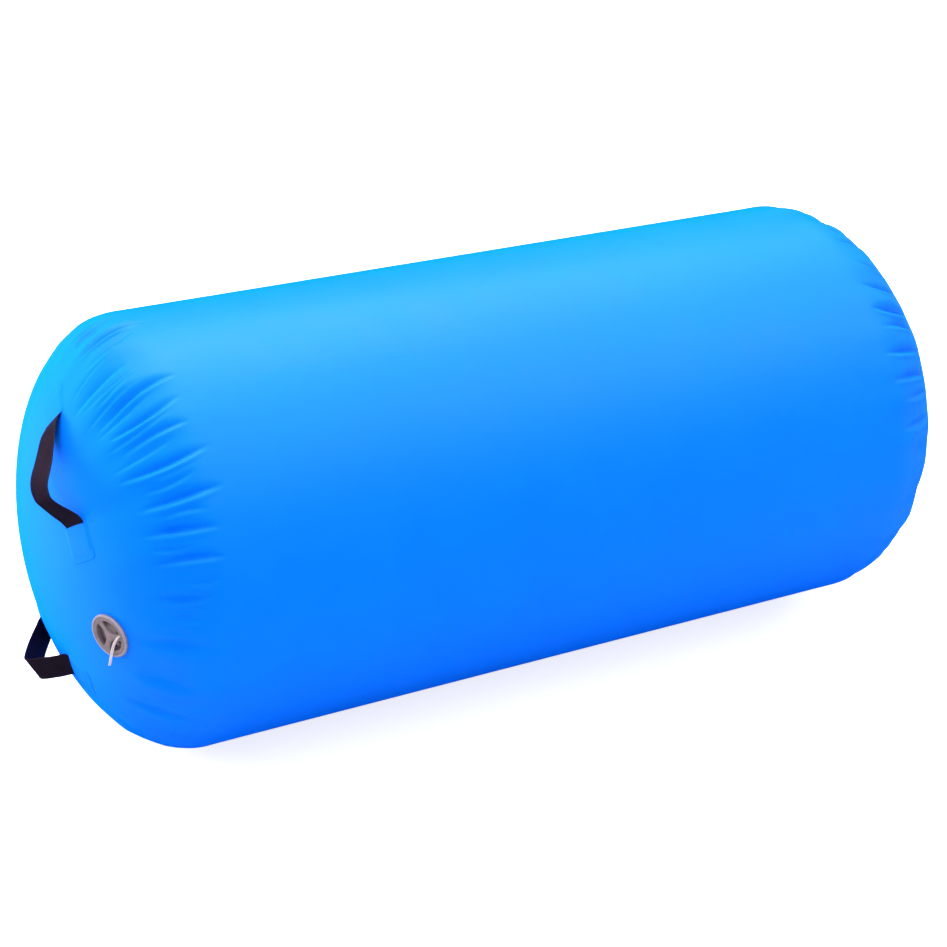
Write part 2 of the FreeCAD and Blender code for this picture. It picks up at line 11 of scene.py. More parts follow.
import bpy
import numpy as np
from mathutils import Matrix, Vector

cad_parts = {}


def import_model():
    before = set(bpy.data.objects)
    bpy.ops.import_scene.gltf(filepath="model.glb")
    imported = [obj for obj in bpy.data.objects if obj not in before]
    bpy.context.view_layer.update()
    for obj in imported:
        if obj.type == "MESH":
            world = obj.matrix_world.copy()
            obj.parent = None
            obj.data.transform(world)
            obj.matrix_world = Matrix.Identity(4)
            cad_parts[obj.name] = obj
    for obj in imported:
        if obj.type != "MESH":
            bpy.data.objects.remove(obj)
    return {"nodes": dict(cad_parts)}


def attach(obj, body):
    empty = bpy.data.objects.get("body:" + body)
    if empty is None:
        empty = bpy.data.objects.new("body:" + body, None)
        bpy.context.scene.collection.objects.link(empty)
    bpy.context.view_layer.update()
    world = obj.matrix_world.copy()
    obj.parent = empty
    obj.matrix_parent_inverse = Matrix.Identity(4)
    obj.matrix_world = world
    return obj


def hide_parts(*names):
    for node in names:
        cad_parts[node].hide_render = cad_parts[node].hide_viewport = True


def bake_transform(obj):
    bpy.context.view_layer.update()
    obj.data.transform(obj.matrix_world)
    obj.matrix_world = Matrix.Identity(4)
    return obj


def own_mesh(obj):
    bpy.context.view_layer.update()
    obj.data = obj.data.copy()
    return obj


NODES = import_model()["nodes"]
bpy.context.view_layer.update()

# ------------------------------------------------------------------ the roll
RADIUS = 0.300
HALF_STRAIGHT = 0.506               # middle to where the end starts to bulge
BULGE = 0.172
AXIS_Z = 0.298957
AXIS = np.array([0, 0, AXIS_Z])
SKIN = 0.001                        # fabric thickness
SEAM_ANGLE = math.radians(19.71)    # ellipse angle of the disc-to-wall seam
TAPE_ANGLES = math.radians(26.5), math.radians(13.0)
TAPE_GAP, TAPE_THICK = .00006, .0008
LAP_TURN, LAP_WIDTH = math.radians(222.0), .04
LAP_HALF_LENGTH = .49
VALVE_TURN, VALVE_RADIUS = 98.4, 0.2022   # place on the near end, degrees and metres
VALVE_HOLE = .0281
TAU = 2 * math.pi


def meridian(count=4000):
    """Ellipse angle, arc, x and radius along the bulge, from tip to shoulder."""
    angle = np.linspace(math.pi / 2, 0, count)
    x, r = HALF_STRAIGHT + BULGE * np.sin(angle), RADIUS * np.cos(angle)
    arc = np.concatenate([[0], np.cumsum(np.hypot(np.diff(x), np.diff(r)))])
    return angle, arc, x, r


MER_ANGLE, MER_ARC, MER_X, MER_R = meridian()
ARC_SHOULDER = MER_ARC[-1]
ARC_MIDDLE = ARC_SHOULDER + HALF_STRAIGHT


def profile(arc):
    """Distance in x from the middle, and radius, at an arc."""
    arc = np.asarray(arc, float)
    x, r = np.interp(arc, MER_ARC, MER_X), np.interp(arc, MER_ARC, MER_R)
    straight = arc > ARC_SHOULDER
    return (np.where(straight, HALF_STRAIGHT - (arc - ARC_SHOULDER), x),
            np.where(straight, RADIUS, r))


def profile_normal(arc, step=1e-4):
    x0, r0 = profile(np.maximum(arc - step, 0))
    x1, r1 = profile(arc + step)
    along_x, along_r = x1 - x0, r1 - r0
    length = np.hypot(along_x, along_r)
    return along_r / length, -along_x / length


def arc_of_angle(angle):
    """Arc at an ellipse angle, which is 0 at the shoulder."""
    return np.interp(math.pi / 2 - angle, math.pi / 2 - MER_ANGLE, MER_ARC)


ARC_SEAM = float(arc_of_angle(SEAM_ANGLE))
ARC_TAPE_LO, ARC_TAPE_HI = (float(arc_of_angle(angle)) for angle in TAPE_ANGLES)


def unit(v):
    v = np.asarray(v, float)
    return v / np.linalg.norm(v, axis=-1, keepdims=True)


def rotate(v, axis, angle):
    return (v * math.cos(angle) + np.cross(axis, v) * math.sin(angle)
            + axis * np.dot(axis, v) * (1 - math.cos(angle)))


def smooth(t):
    """Smooth step from 0 to 1."""
    t = np.clip(t, 0, 1)
    return t * t * (3 - 2 * t)


def on_near_dome(turn_deg, radius):
    """Point and outward normal on the near end's smooth bulge."""
    turn = math.radians(turn_deg)
    rel = radius / RADIUS
    rise = math.sqrt(1 - rel ** 2)
    point = np.array([-(HALF_STRAIGHT + BULGE * rise), -radius * math.sin(turn),
                      AXIS_Z + radius * math.cos(turn)])
    return point, unit([-rise / BULGE, -rel / RADIUS * math.sin(turn),
                        rel / RADIUS * math.cos(turn)])


VALVE_P, VALVE_N = on_near_dome(VALVE_TURN, VALVE_RADIUS)

# ------------------------------------------------------------------- creases
# A flat disc and a flat tube wall meet in one seam, so the spare cloth on both
# sides of it folds into radial creases. Columns: turn at the inner and at the
# outer end in degrees, arc at the inner and at the outer end in tube radii,
# depth and width as shares of CREASE_DEPTH and CREASE_WIDTH.
NEAR_CREASES = [
    (7, 4, .93, 1.21, .55, 1.1), (17.5, 15.6, .78, 1.11, .6, 1.2), (23.5, 20, .9, 1.12, .35, .9),
    (30, 24.6, .86, 1.28, 1., 1.1), (34.9, 30.9, .90, 1.26, 1., 1.), (41, 38.3, .93, 1.26, .75, 1.),
    (47.7, 45.3, .88, 1.31, 1.15, 1.15), (52.8, 50.8, .97, 1.22, .45, .8),
    (57.2, 55.4, .94, 1.32, 1.15, 1.1), (60.6, 60.4, 1.02, 1.24, .4, .8),
    (63.9, 64.8, .93, 1.27, 1.05, 1.1), (72, 72, .93, 1.27, 1.05, 1.1),
    (76.6, 76.8, 1.05, 1.25, .4, .9), (80.6, 80.6, .93, 1.22, .9, 1.1),
    (87.5, 87.5, .95, 1.16, .45, 1.1), (96.2, 95.2, .80, 1.21, .95, 1.),
    (109.4, 108, .82, 1.13, 1.2, 1.45), (126, 121.8, .79, 1.14, 1.1, 1.),
    (142, 138, .88, 1.14, .26, 1.3), (158, 153, .92, 1.14, .16, 1.2)]
NEAR_FINE_CREASES = [
    (12, 9.5, .80, 1.06, .12, .6), (20.5, 17.8, .82, 1.18, .16, .6), (27, 22.5, .80, 1.16, .22, .6),
    (32.4, 27.8, .84, 1.16, .25, .6), (38, 34.4, .86, 1.20, .3, .65),
    (44.6, 41.6, .86, 1.18, .32, .65), (50.2, 48, 1.0, 1.26, .25, .6),
    (62.4, 62.8, .98, 1.14, .3, .6), (67.6, 68.2, .94, 1.16, .38, .7),
    (84.4, 84.2, 1.0, 1.18, .24, .7), (91.5, 91.4, .94, 1.10, .2, .7),
    (102.4, 102, .96, 1.10, .10, 1.), (117, 115.4, .94, 1.1, .12, 1.1)]
FAR_CREASES = [
    (-14, -14, .9, 1.18, 1., 1.2), (-4, -4, .92, 1.2, 1.1, 1.2), (6, 6, .9, 1.2, .9, 1.1),
    (12.5, 12, .95, 1.18, .6, .9), (19, 18, .9, 1.2, .8, 1.), (28, 27, .9, 1.2, .6, 1.),
    (36, 35, .88, 1.25, 1., 1.), (44, 43, .88, 1.25, 1.1, 1.1), (50, 49, .9, 1.22, .9, 1.),
    (57, 56.5, .9, 1.25, 1.1, 1.), (65, 64.5, .88, 1.25, 1.1, 1.), (70, 70, .92, 1.2, .8, 1.),
    (78, 78, .9, 1.22, .9, 1.), (85, 85, .98, 1.18, .4, .8), (92, 92, .96, 1.2, .35, .8),
    (98, 98, .98, 1.16, .3, .8), (104, 104, .96, 1.2, .35, .8), (110, 110, .98, 1.14, .25, .8),
    (116, 116, .96, 1.18, .3, .8)]
CREASE_DEPTH, CREASE_WIDTH = .0068, .0047


def crease(turn_in, turn_out, reach_in, reach_out, depth, width):
    """A table row in radians and metres."""
    return (math.radians(turn_in), math.radians(turn_out), reach_in * RADIUS,
            reach_out * RADIUS, CREASE_DEPTH * depth, CREASE_WIDTH * width)


def crease_list(seed, known):
    """The known creases, then random ones round the rest of the end."""
    rng = np.random.default_rng(seed)
    creases = [crease(*row) for row in known]
    turn = max(row[1] for row in known) + rng.uniform(6, 9)
    stop = min(row[0] for row in known) + 360 - 6
    while turn < stop:
        depth = rng.choice([1., .45], p=[.66, .34]) * rng.uniform(.75, 1.15)
        shallow = depth < .5
        reach_in = rng.uniform(.85, .96) + (.05 if shallow else 0)
        reach_out = rng.uniform(1.14, 1.3) - (.06 if shallow else 0)
        creases.append(crease(turn, turn + rng.uniform(-3, 3), reach_in, reach_out, depth,
                              rng.uniform(.85, 1.2)))
        # a finer crease beside most of the deep ones
        if depth > .6 and rng.uniform() < .75:
            beside = turn + rng.uniform(2.2, 3.6)
            creases.append((math.radians(beside), math.radians(beside + rng.uniform(-2, 2)),
                            reach_in * RADIUS + .02, reach_out * RADIUS - .02,
                            CREASE_DEPTH * rng.uniform(.2, .42), CREASE_WIDTH * .65))
        turn += rng.uniform(5, 9)
    return creases


CREASES = {-1: crease_list(3, NEAR_CREASES) + [crease(*row) for row in NEAR_FINE_CREASES],
           1: crease_list(8, FAR_CREASES)}


def revolve(x, radius, turns):
    """Rings about the x axis; radius: per ring, or per ring and turn."""
    rings = np.empty((len(x), len(turns), 3))
    rings[..., 0] = x[:, None]
    rings[..., 1] = -radius * np.sin(turns)
    rings[..., 2] = radius * np.cos(turns)
    return rings


def ring_points(arc, turns, side):
    x, r = profile(arc)
    return revolve(side * x, r[:, None], turns) + AXIS


def ring_normals(arc, turns, side):
    x, r = profile_normal(arc)
    return revolve(side * x, r[:, None], turns)


def crease_field(arc, turns, side):
    """Displacement along the outward normal, rings by turns."""
    radius = profile(arc)[1]
    field = np.zeros((len(arc), len(turns)))
    rng = np.random.default_rng(5 if side < 0 else 6)
    for turn_in, turn_out, reach_in, reach_out, depth, width in CREASES[side]:
        along = (arc - reach_in) / (reach_out - reach_in)
        peak = rng.uniform(.42, .6)
        bow = math.radians(rng.uniform(-1.2, 1.2))
        rows = np.nonzero((along > 0) & (along < 1))[0]
        if not len(rows):
            continue
        along = along[rows]
        eased = np.where(along < peak, along / peak * .5, .5 + (along - peak) / (1 - peak) * .5)
        envelope = depth * (np.sin(np.pi * eased) ** 1.25)[:, None]
        centre = turn_in + (turn_out - turn_in) * along + bow * np.sin(np.pi * along)
        # low on the near end the skin only dips, in broad soft hollows
        deg = math.degrees(turn_in)
        soft = float(smooth((deg - 89) / 9) * smooth((178 - deg) / 12)) if side < 0 else 0.0
        taper = .35 + .65 * np.sin(np.pi * eased) ** .7
        across = (turns[None, :] - centre[:, None] + math.pi) % TAU - math.pi
        across = across * radius[rows][:, None]
        # each fold is steeper on the side of greater turns
        reach = (width * (1 + .55 * soft) * taper)[:, None] * np.where(across < 0, 1.30, .80)
        core = .0008 + .0022 * soft
        rounded = np.sqrt(across * across + core * core) - core
        field[rows] -= envelope * np.exp(-rounded / reach)
        shoulder = np.exp(-((np.abs(across) - 1.9 * reach) / (1.2 * reach)) ** 2)
        field[rows] += envelope * (1 - .75 * soft) * np.where(across < 0, .10, .34) * shoulder
    # faint ripples round the gathered band
    for _ in range(14):
        waves = rng.integers(9, 40)
        phase = rng.uniform(0, TAU)
        centre = rng.uniform(.95, 1.15) * RADIUS
        width = rng.uniform(.10, .2) * RADIUS
        field += (.00045 * np.sin(waves * turns[None, :] + phase)
                  * np.exp(-((arc[:, None] - centre) / width) ** 2))
    if side < 0:
        # the skin is smooth round the valve
        away = np.linalg.norm(ring_points(arc, turns, -1) - VALVE_P, axis=-1)
        field *= smooth((away - .038) / .034)
    # the inner tape shows through as a slightly prouder band
    band = smooth((arc - ARC_TAPE_LO) / .006) * smooth((ARC_TAPE_HI - arc) / .006)
    return field + .00032 * band[:, None]


# stored field, for pieces that lie on the skin
STORED_ARCS = np.linspace(.10, .48, 128)
STORED_TURNS = np.linspace(0, TAU, 720, endpoint=False)
STORED = {side: crease_field(STORED_ARCS, STORED_TURNS, side) for side in (-1, 1)}


def field_at(arc, turn, side):
    """The stored field, read between its stations."""
    stored = STORED[side]
    row = (arc - STORED_ARCS[0]) / (STORED_ARCS[1] - STORED_ARCS[0])
    row = np.clip(row, 0, len(STORED_ARCS) - 1.001)
    column = (turn % TAU) / TAU * len(STORED_TURNS)
    i, j = np.floor(row).astype(int), np.floor(column).astype(int) % len(STORED_TURNS)
    u, v = row - i, column - np.floor(column)
    j1 = (j + 1) % len(STORED_TURNS)
    return ((1 - u) * (1 - v) * stored[i, j] + u * (1 - v) * stored[i + 1, j]
            + (1 - u) * v * stored[i, j1] + u * v * stored[i + 1, j1])


def settle(p, side):
    """Nearest place on the creased bulged end, and its outward normal."""
    p = np.array(p, float)
    for _ in range(4):
        x = (side * p[..., 0] - HALF_STRAIGHT) / BULGE
        y, z = p[..., 1] / RADIUS, (p[..., 2] - AXIS_Z) / RADIUS
        miss = x * x + y * y + z * z - 1
        slope = np.stack([side * 2 * x / BULGE, 2 * y / RADIUS, 2 * z / RADIUS], -1)
        p = p - slope * (miss / (slope * slope).sum(-1))[..., None]
    normal = unit(slope)
    radius = np.hypot(p[..., 1], p[..., 2] - AXIS_Z)
    turn = np.arctan2(-p[..., 1], p[..., 2] - AXIS_Z)
    arc = arc_of_angle(np.arccos(np.clip(radius / RADIUS, 0, 1)))
    return p + normal * field_at(arc, turn, side)[..., None], normal


# ------------------------------------------------------------- mesh building
def make_mesh(name, verts, faces, uv):
    """faces: list of (n, 4) or (n, 3) index arrays; uv: per vertex, metres."""
    mesh = bpy.data.meshes.new(name)
    verts = np.asarray(verts, np.float32)
    # a closed piece's faces all look outward
    tris = np.concatenate([f[:, [0, k, k + 1]] for f in faces for k in range(1, f.shape[1] - 1)])
    centred = verts.astype(float) - verts.mean(0)
    a, b, c = (centred[tris[:, k]] for k in range(3))
    if np.einsum("ij,ij->i", a, np.cross(b, c)).sum() < 0:
        faces = [f[:, ::-1] for f in faces]
    loops = np.concatenate([f.ravel() for f in faces]).astype(np.int32)
    sizes = np.concatenate([np.full(len(f), f.shape[1]) for f in faces]).astype(np.int32)
    starts = np.concatenate([[0], np.cumsum(sizes)[:-1]]).astype(np.int32)
    mesh.vertices.add(len(verts))
    mesh.vertices.foreach_set("co", verts.ravel())
    mesh.loops.add(len(loops))
    mesh.loops.foreach_set("vertex_index", loops)
    mesh.polygons.add(len(sizes))
    mesh.polygons.foreach_set("loop_start", starts)
    mesh.update(calc_edges=True)
    mesh.validate()
    layer = mesh.uv_layers.new(name="metres")
    corners = np.empty(len(mesh.loops), np.int32)
    mesh.loops.foreach_get("vertex_index", corners)
    layer.data.foreach_set("uv", np.asarray(uv, np.float32)[corners].ravel())
    shade_smooth(mesh)
    return add_object(name, mesh)


def shade_smooth(mesh):
    mesh.polygons.foreach_set("use_smooth", np.ones(len(mesh.polygons), bool))


def add_object(name, data):
    ob = bpy.data.objects.new(name, data)
    bpy.context.scene.collection.objects.link(ob)
    return ob


def grid_faces(rows, columns, base=0, wrap=False, flip=False):
    i = np.arange(rows - 1)[:, None]
    j = np.arange(columns if wrap else columns - 1)[None, :]
    j1 = (j + 1) % columns
    corners = (i * columns + j, i * columns + j1, (i + 1) * columns + j1, (i + 1) * columns + j)
    faces = np.stack(np.broadcast_arrays(*corners), -1).reshape(-1, 4) + base
    return faces[:, ::-1] if flip else faces


def fan(hub, start, count, back=False):
    """Triangles from a hub to the ring of vertices that begins at start."""
    here = np.arange(count)
    after = (here + 1) % count
    pair = (after, here) if back else (here, after)
    return np.stack([np.full(count, hub), start + pair[0], start + pair[1]], -1)


def grid_uv(rows, columns):
    return np.stack(np.broadcast_arrays(rows[:, None], columns[None, :]), -1)


def capped_mesh(name, verts, rows, columns, uv, flip=False):
    """Wrapped grid closed by a fan at each end; the last two verts are the hubs."""
    hub = rows * columns
    faces = [grid_faces(rows, columns, 0, True, flip), fan(hub, 0, columns, back=not flip),
             fan(hub + 1, hub - columns, columns, back=flip)]
    return make_mesh(name, verts, faces, uv)


def punch(verts, faces, count, centre, normal, radius):
    """Cut a round hole through both skins; returns the outer verts on its edge."""
    outer = faces[0]
    offset = verts[outer].mean(1) - centre
    height = offset @ normal
    flat = offset - np.outer(height, normal)
    inside = (np.linalg.norm(flat, axis=1) < radius) & (height > -.05)
    gone = {(int(a), int(b)) for quad in outer[inside] for a, b in zip(quad, np.roll(quad, -1))}
    border = [(a, b) for (a, b) in gone if (b, a) not in gone]
    ids = np.unique(np.array(border))
    for skin in (ids, ids + count):
        offset = verts[skin] - centre
        height = np.outer(offset @ normal, normal)
        flat = offset - height
        length = np.linalg.norm(flat, axis=1)
        verts[skin] = centre + flat / length[:, None] * radius + height
    faces[:2] = [skin[~inside] for skin in faces[:2]]
    faces.insert(3, np.array([[b + count, a + count, a, b] for a, b in border]))
    return ids


def shell(name, outer, inner, uv, tip=None, hole=None, flip=False):
    """Closed skin from two ring grids (rings, turns, 3).

    tip: outer and inner point that close ring 0; hole: centre, normal, radius.
    """
    rings, turns = outer.shape[:2]
    count = rings * turns
    last = count - turns
    here = np.arange(turns)
    after = (here + 1) % turns
    verts = [outer.reshape(-1, 3), inner.reshape(-1, 3)]
    uvs = [uv.reshape(-1, 2)] * 2
    faces = [grid_faces(rings, turns, 0, True), grid_faces(rings, turns, count, True, flip=True),
             np.stack([last + here, last + after, count + last + after, count + last + here], -1)]
    if tip is None:
        faces.append(np.stack([after, here, count + here, count + after], -1))
    else:
        verts.append(tip)
        uvs.append(np.zeros((2, 2)))
        faces += [fan(2 * count, 0, turns, back=True), fan(2 * count + 1, count, turns)]
    if flip:
        faces = [f[:, ::-1] for f in faces]
    verts = np.concatenate(verts)
    if hole is not None:
        ids = punch(verts, faces, count, *hole)
    ob = make_mesh(name, verts, faces, np.concatenate(uvs))
    if hole is not None:
        # the hole's edge is square, so its shading doesn't run into the skin
        ends = np.empty(len(ob.data.edges) * 2, np.int32)
        ob.data.edges.foreach_get("vertices", ends)
        ends = ends.reshape(-1, 2)
        lip = np.isin(ends, ids).all(1) | np.isin(ends, ids + count).all(1)
        ob.data.edges.foreach_set("use_edge_sharp", lip)
    return ob


def slab(name, top, low, uv):
    """Closed sheet from two open grids."""
    rows, columns = top.shape[:2]
    count = rows * columns
    verts = np.concatenate([top.reshape(-1, 3), low.reshape(-1, 3)])
    ring = np.concatenate([np.arange(columns), np.arange(1, rows) * columns + columns - 1,
                           (rows - 1) * columns + np.arange(columns - 2, -1, -1),
                           np.arange(rows - 2, 0, -1) * columns])
    after = np.roll(ring, -1)
    faces = [grid_faces(rows, columns), grid_faces(rows, columns, count, flip=True),
             np.stack([after, ring, ring + count, after + count], -1)]
    return make_mesh(name, verts, faces, np.concatenate([uv.reshape(-1, 2)] * 2))


# ------------------------------------------------------------------ membrane
TURNS = np.linspace(0, TAU, 1000, endpoint=False)


def rest_on_floor(p, lift):
    p[..., 2] = np.maximum(p[..., 2], lift)
    return p


def layers(arc, side, field, thick, lift):
    """Outer and inner rings of a layer of the membrane, kept above the floor."""
    p, n = ring_points(arc, TURNS, side), ring_normals(arc, TURNS, side)
    return (rest_on_floor(p + n * field[..., None], lift),
            rest_on_floor(p + n * (field - thick)[..., None], lift + thick))


def skin_layers(arc, side):
    """The fabric, its surface rounded down over the last 0.9 mm to the seam."""
    edge = np.clip(np.abs(arc - ARC_SEAM) / .0009, 0, 1)
    dip = .00008 * (1 - np.sqrt(1 - (1 - edge) ** 2))
    return layers(arc, side, crease_field(arc, TURNS, side) - dip[:, None], SKIN, 0.0)


def joined(parts):
    return np.unique(np.round(np.concatenate(parts), 6))


def end_disc(side, word):
    arc = joined([np.linspace(.006, .060, 7), np.linspace(.060, .150, 13),
                  np.linspace(.150, .245, 30), np.linspace(.245, ARC_SEAM - .0016, 22),
                  [ARC_SEAM - .0008, ARC_SEAM - .0003, ARC_SEAM - .00002]])
    outer, inner = skin_layers(arc, side)
    tip_x = HALF_STRAIGHT + BULGE
    tip = np.array([[side * tip_x, 0, AXIS_Z], [side * (tip_x - SKIN), 0, AXIS_Z]])
    uv = arc[:, None, None] * np.stack([np.sin(TURNS), np.cos(TURNS)], -1)
    hole = (VALVE_P, VALVE_N, VALVE_HOLE) if side < 0 else None
    ob = shell(word + "_end_disc_skin", outer, inner, uv, tip, hole, flip=side < 0)
    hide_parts(word + "_end_disc")
    return ob


def side_wall():
    fine = joined([[ARC_SEAM + .00002, ARC_SEAM + .0003, ARC_SEAM + .0008],
                   np.linspace(ARC_SEAM + .0016, .405, 26), np.linspace(.405, .452, 8)])
    near_half = np.concatenate([fine, np.linspace(.452, ARC_MIDDLE, 16)[1:]])
    outer, inner, uvs = [], [], []
    # the far half leaves out the ring the halves share in the middle
    for side, arc in ((-1, near_half), (1, near_half[:-1][::-1])):
        out, in_ = skin_layers(arc, side)
        outer.append(out)
        inner.append(in_)
        uvs.append(grid_uv(side * (ARC_MIDDLE - arc), TURNS * RADIUS))
    ob = shell("side_wall_skin", *(np.concatenate(part) for part in (outer, inner, uvs)))
    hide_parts("side_wall")
    return ob


def seam_band(side, word):
    """Inner tape round the disc-to-wall seam."""
    arc = np.linspace(ARC_TAPE_LO, ARC_TAPE_HI, 15)
    field = crease_field(arc, TURNS, side) - SKIN - TAPE_GAP
    outer, inner = layers(arc, side, field, TAPE_THICK, SKIN + TAPE_GAP)
    ob = shell(word + "_seam_band", outer, inner, grid_uv(arc, TURNS * RADIUS))
    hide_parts(word + "_seam_tape")
    return ob


def lap_band():
    """Inner tape of the tube's lengthwise seam, lying on the creased wall."""
    half = LAP_WIDTH / 2 / RADIUS
    xs = np.linspace(-LAP_HALF_LENGTH, LAP_HALF_LENGTH, 150)
    turns = np.linspace(LAP_TURN - half, LAP_TURN + half, 17)
    arc = (ARC_SHOULDER + (HALF_STRAIGHT - np.abs(xs)))[:, None]
    near, far = (field_at(np.minimum(arc, .479), turns[None, :], side) for side in (-1, 1))
    # the stored field ends at arc .48; beyond it the wall is plain
    field = np.where(xs[:, None] < 0, near, far) * (arc < .478)
    top, low = (revolve(xs, RADIUS - depth + field, turns) + AXIS
                for depth in (SKIN + TAPE_GAP, SKIN + TAPE_GAP + TAPE_THICK))
    ob = slab("lap_seam_band", top, low, grid_uv(xs, turns * RADIUS))
    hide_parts("lap_seam_tape")
    return ob


# ------------------------------------------------------------------ materials
class Nodes:
    """Short hand for building a node tree."""

    def __init__(self, tree):
        self.tree = tree

    def put(self, socket, value):
        if isinstance(value, bpy.types.NodeSocket):
            self.tree.links.new(value, socket)
        else:
            socket.default_value = value

    def node(self, kind, output=0, **values):
        """One output of a new node. _name sets a property; other names are inputs,
        with __ for a space."""
        node = self.tree.nodes.new(kind)
        for key, value in values.items():
            if key.startswith("_"):
                setattr(node, key[1:], value)
            else:
                self.put(node.inputs[key.replace("__", " ")], value)
        return node.outputs[output]

    def math(self, operation, a, b=0.0, c=0.0):
        """c=None leaves the third input as it comes."""
        node = self.tree.nodes.new("ShaderNodeMath")
        node.operation = operation
        for socket, value in zip(node.inputs, (a, b, c)):
            if value is not None:
                self.put(socket, value)
        return node.outputs[0]

    def span(self, value, source=(0.0, 1.0), target=(0.0, 1.0), eased=False):
        """Map the source range onto the target range."""
        node = self.tree.nodes.new("ShaderNodeMapRange")
        if eased:
            node.interpolation_type = "SMOOTHSTEP"
        for socket, setting in zip(node.inputs, (value, *source, *target)):
            self.put(socket, setting)
        return node.outputs[0]

    def split(self, vector):
        node = self.tree.nodes.new("ShaderNodeSeparateXYZ")
        self.put(node.inputs[0], vector)
        return node.outputs


class Material(Nodes):
    """A material with one Principled shader."""

    def __init__(self, name):
        self.mat = bpy.data.materials.new(name)
        self.mat.use_nodes = True
        super().__init__(self.mat.node_tree)
        self.tree.nodes.clear()
        output = self.tree.nodes.new("ShaderNodeOutputMaterial")
        self.bsdf = self.tree.nodes.new("ShaderNodeBsdfPrincipled")
        self.put(output.inputs[0], self.bsdf.outputs[0])

    def coords(self):
        return self.node("ShaderNodeTexCoord", "Object")

    def uv(self):
        return self.split(self.node("ShaderNodeUVMap", _uv_map="metres"))[:2]

    def noise(self, vector, scale, detail=3.0, rough=.5):
        return self.node("ShaderNodeTexNoise", Vector=vector, Scale=scale, Detail=detail,
                         Roughness=rough)

    def stretched(self, vector, scale):
        return self.node("ShaderNodeMapping", Vector=vector, Scale=scale)

    def ridges(self, value, pitch):
        """|sin| with one ridge per pitch."""
        turn = self.math("MULTIPLY", value, math.pi / pitch)
        return self.math("ABSOLUTE", self.math("SINE", turn))

    def mix(self, factor, a, b):
        node = self.tree.nodes.new("ShaderNodeMix")
        node.data_type = "RGBA"
        self.put(node.inputs[0], factor)
        for socket, colour in ((node.inputs[6], a), (node.inputs[7], b)):
            self.put(socket, (*colour, 1.0) if isinstance(colour, tuple) else colour)
        return node.outputs[2]

    def shade(self, value, a, b, source, target=(0.0, 1.0)):
        """Colour from a to b as value crosses the source range."""
        return self.mix(self.span(value, source, target), a, b)

    def bump(self, height, strength, distance, normal=None):
        values = dict(Strength=strength, Distance=distance, Height=height)
        if normal is not None:
            values["Normal"] = normal
        return self.node("ShaderNodeBump", **values)

    def set(self, **values):
        for key, value in values.items():
            if isinstance(value, tuple):
                value = (*value, 1.0)
            self.put(self.bsdf.inputs[key.replace("__", " ")], value)
        return self.mat


def pvc():
    """Coated fabric: smooth satin film over a fine scrim of yarns."""
    base, yarn_pitch = (0.0, 0.158, 0.98), .0012
    t = Material("pvc_skin")
    u, v = t.uv()
    obj = t.coords()
    big = t.noise(obj, scale=2.2, rough=.55)
    mid = t.noise(obj, scale=19.0, detail=4.0, rough=.6)
    fine = t.noise(obj, scale=900.0, detail=2.0)
    tone = t.math("ADD", t.math("MULTIPLY", big, .6), t.math("MULTIPLY", mid, .4))
    colour = t.shade(tone, tuple(c * .955 for c in base), tuple(min(1, c * 1.04) for c in base),
                     source=(.35, .65))
    # yarns under the film
    waves = [t.math("SINE", t.math("MULTIPLY", way, TAU / yarn_pitch)) for way in (u, v)]
    weave = t.math("MULTIPLY", *waves)
    colour = t.shade(weave, colour, (0.0, .13, .88), source=(-1, 1), target=(0, .05))
    # light scuffing, drawn out along the roll
    scuff = t.noise(t.stretched(obj, (6.0, 40.0, 40.0)), scale=3.0, detail=6.0, rough=.7)
    rub = t.span(scuff, source=(.62, .80))
    rough = t.math("ADD", t.span(mid, source=(.3, .7), target=(.46, .54)),
                   t.math("MULTIPLY", rub, .10))
    normal = t.bump(weave, strength=.22, distance=.00006)
    normal = t.bump(fine, strength=.10, distance=.00005, normal=normal)
    normal = t.bump(t.noise(obj, scale=60.0), strength=.10, distance=.0006, normal=normal)
    # the film loses its gloss where it turns away, as matt calendered film does
    edge_on = t.node("ShaderNodeLayerWeight", "Facing", Blend=.5)
    level = t.span(edge_on, source=(.50, .86), target=(.075, .004))
    return t.set(Base__Color=colour, Roughness=rough, Normal=normal, IOR=1.45,
                 Specular__IOR__Level=level, Specular__Tint=(.28, .50, .80))


RIB_PITCH = .0025      # across the webbing


def webbing():
    """Woven black webbing: lengthwise ribs of slanted yarns, a little fuzz."""
    t = Material("black_webbing")
    u, v = t.uv()
    obj = t.coords()
    ribs = t.ridges(v, pitch=RIB_PITCH)
    zigzag = t.math("PINGPONG", v, RIB_PITCH)
    yarn = t.ridges(t.math("ADD", u, zigzag), pitch=.0011)
    fuzz = t.noise(obj, scale=2600.0, rough=.7)
    slow = t.noise(obj, scale=45.0, rough=.6)
    height = t.math("ADD", t.math("MULTIPLY", ribs, .6), t.math("MULTIPLY", yarn, .4))
    # painted shade: the weave's grooves are darker and its rib tops lighter, following the height
    colour = t.shade(height, (.0036, .0018, .0048), (.0120, .0058, .0160), source=(.1, .95))
    colour = t.shade(slow, colour, (.0145, .0074, .0185), source=(.4, .75), target=(0, .45))
    normal = t.bump(height, strength=.55, distance=.00025)
    normal = t.bump(fuzz, strength=.35, distance=.00008, normal=normal)
    return t.set(Base__Color=colour, Normal=normal, Specular__IOR__Level=.05,
                 Roughness=t.span(fuzz, source=(.3, .7), target=(.58, .78)),
                 Sheen__Weight=.006, Sheen__Roughness=.5, Sheen__Tint=(.8, .55, .85))


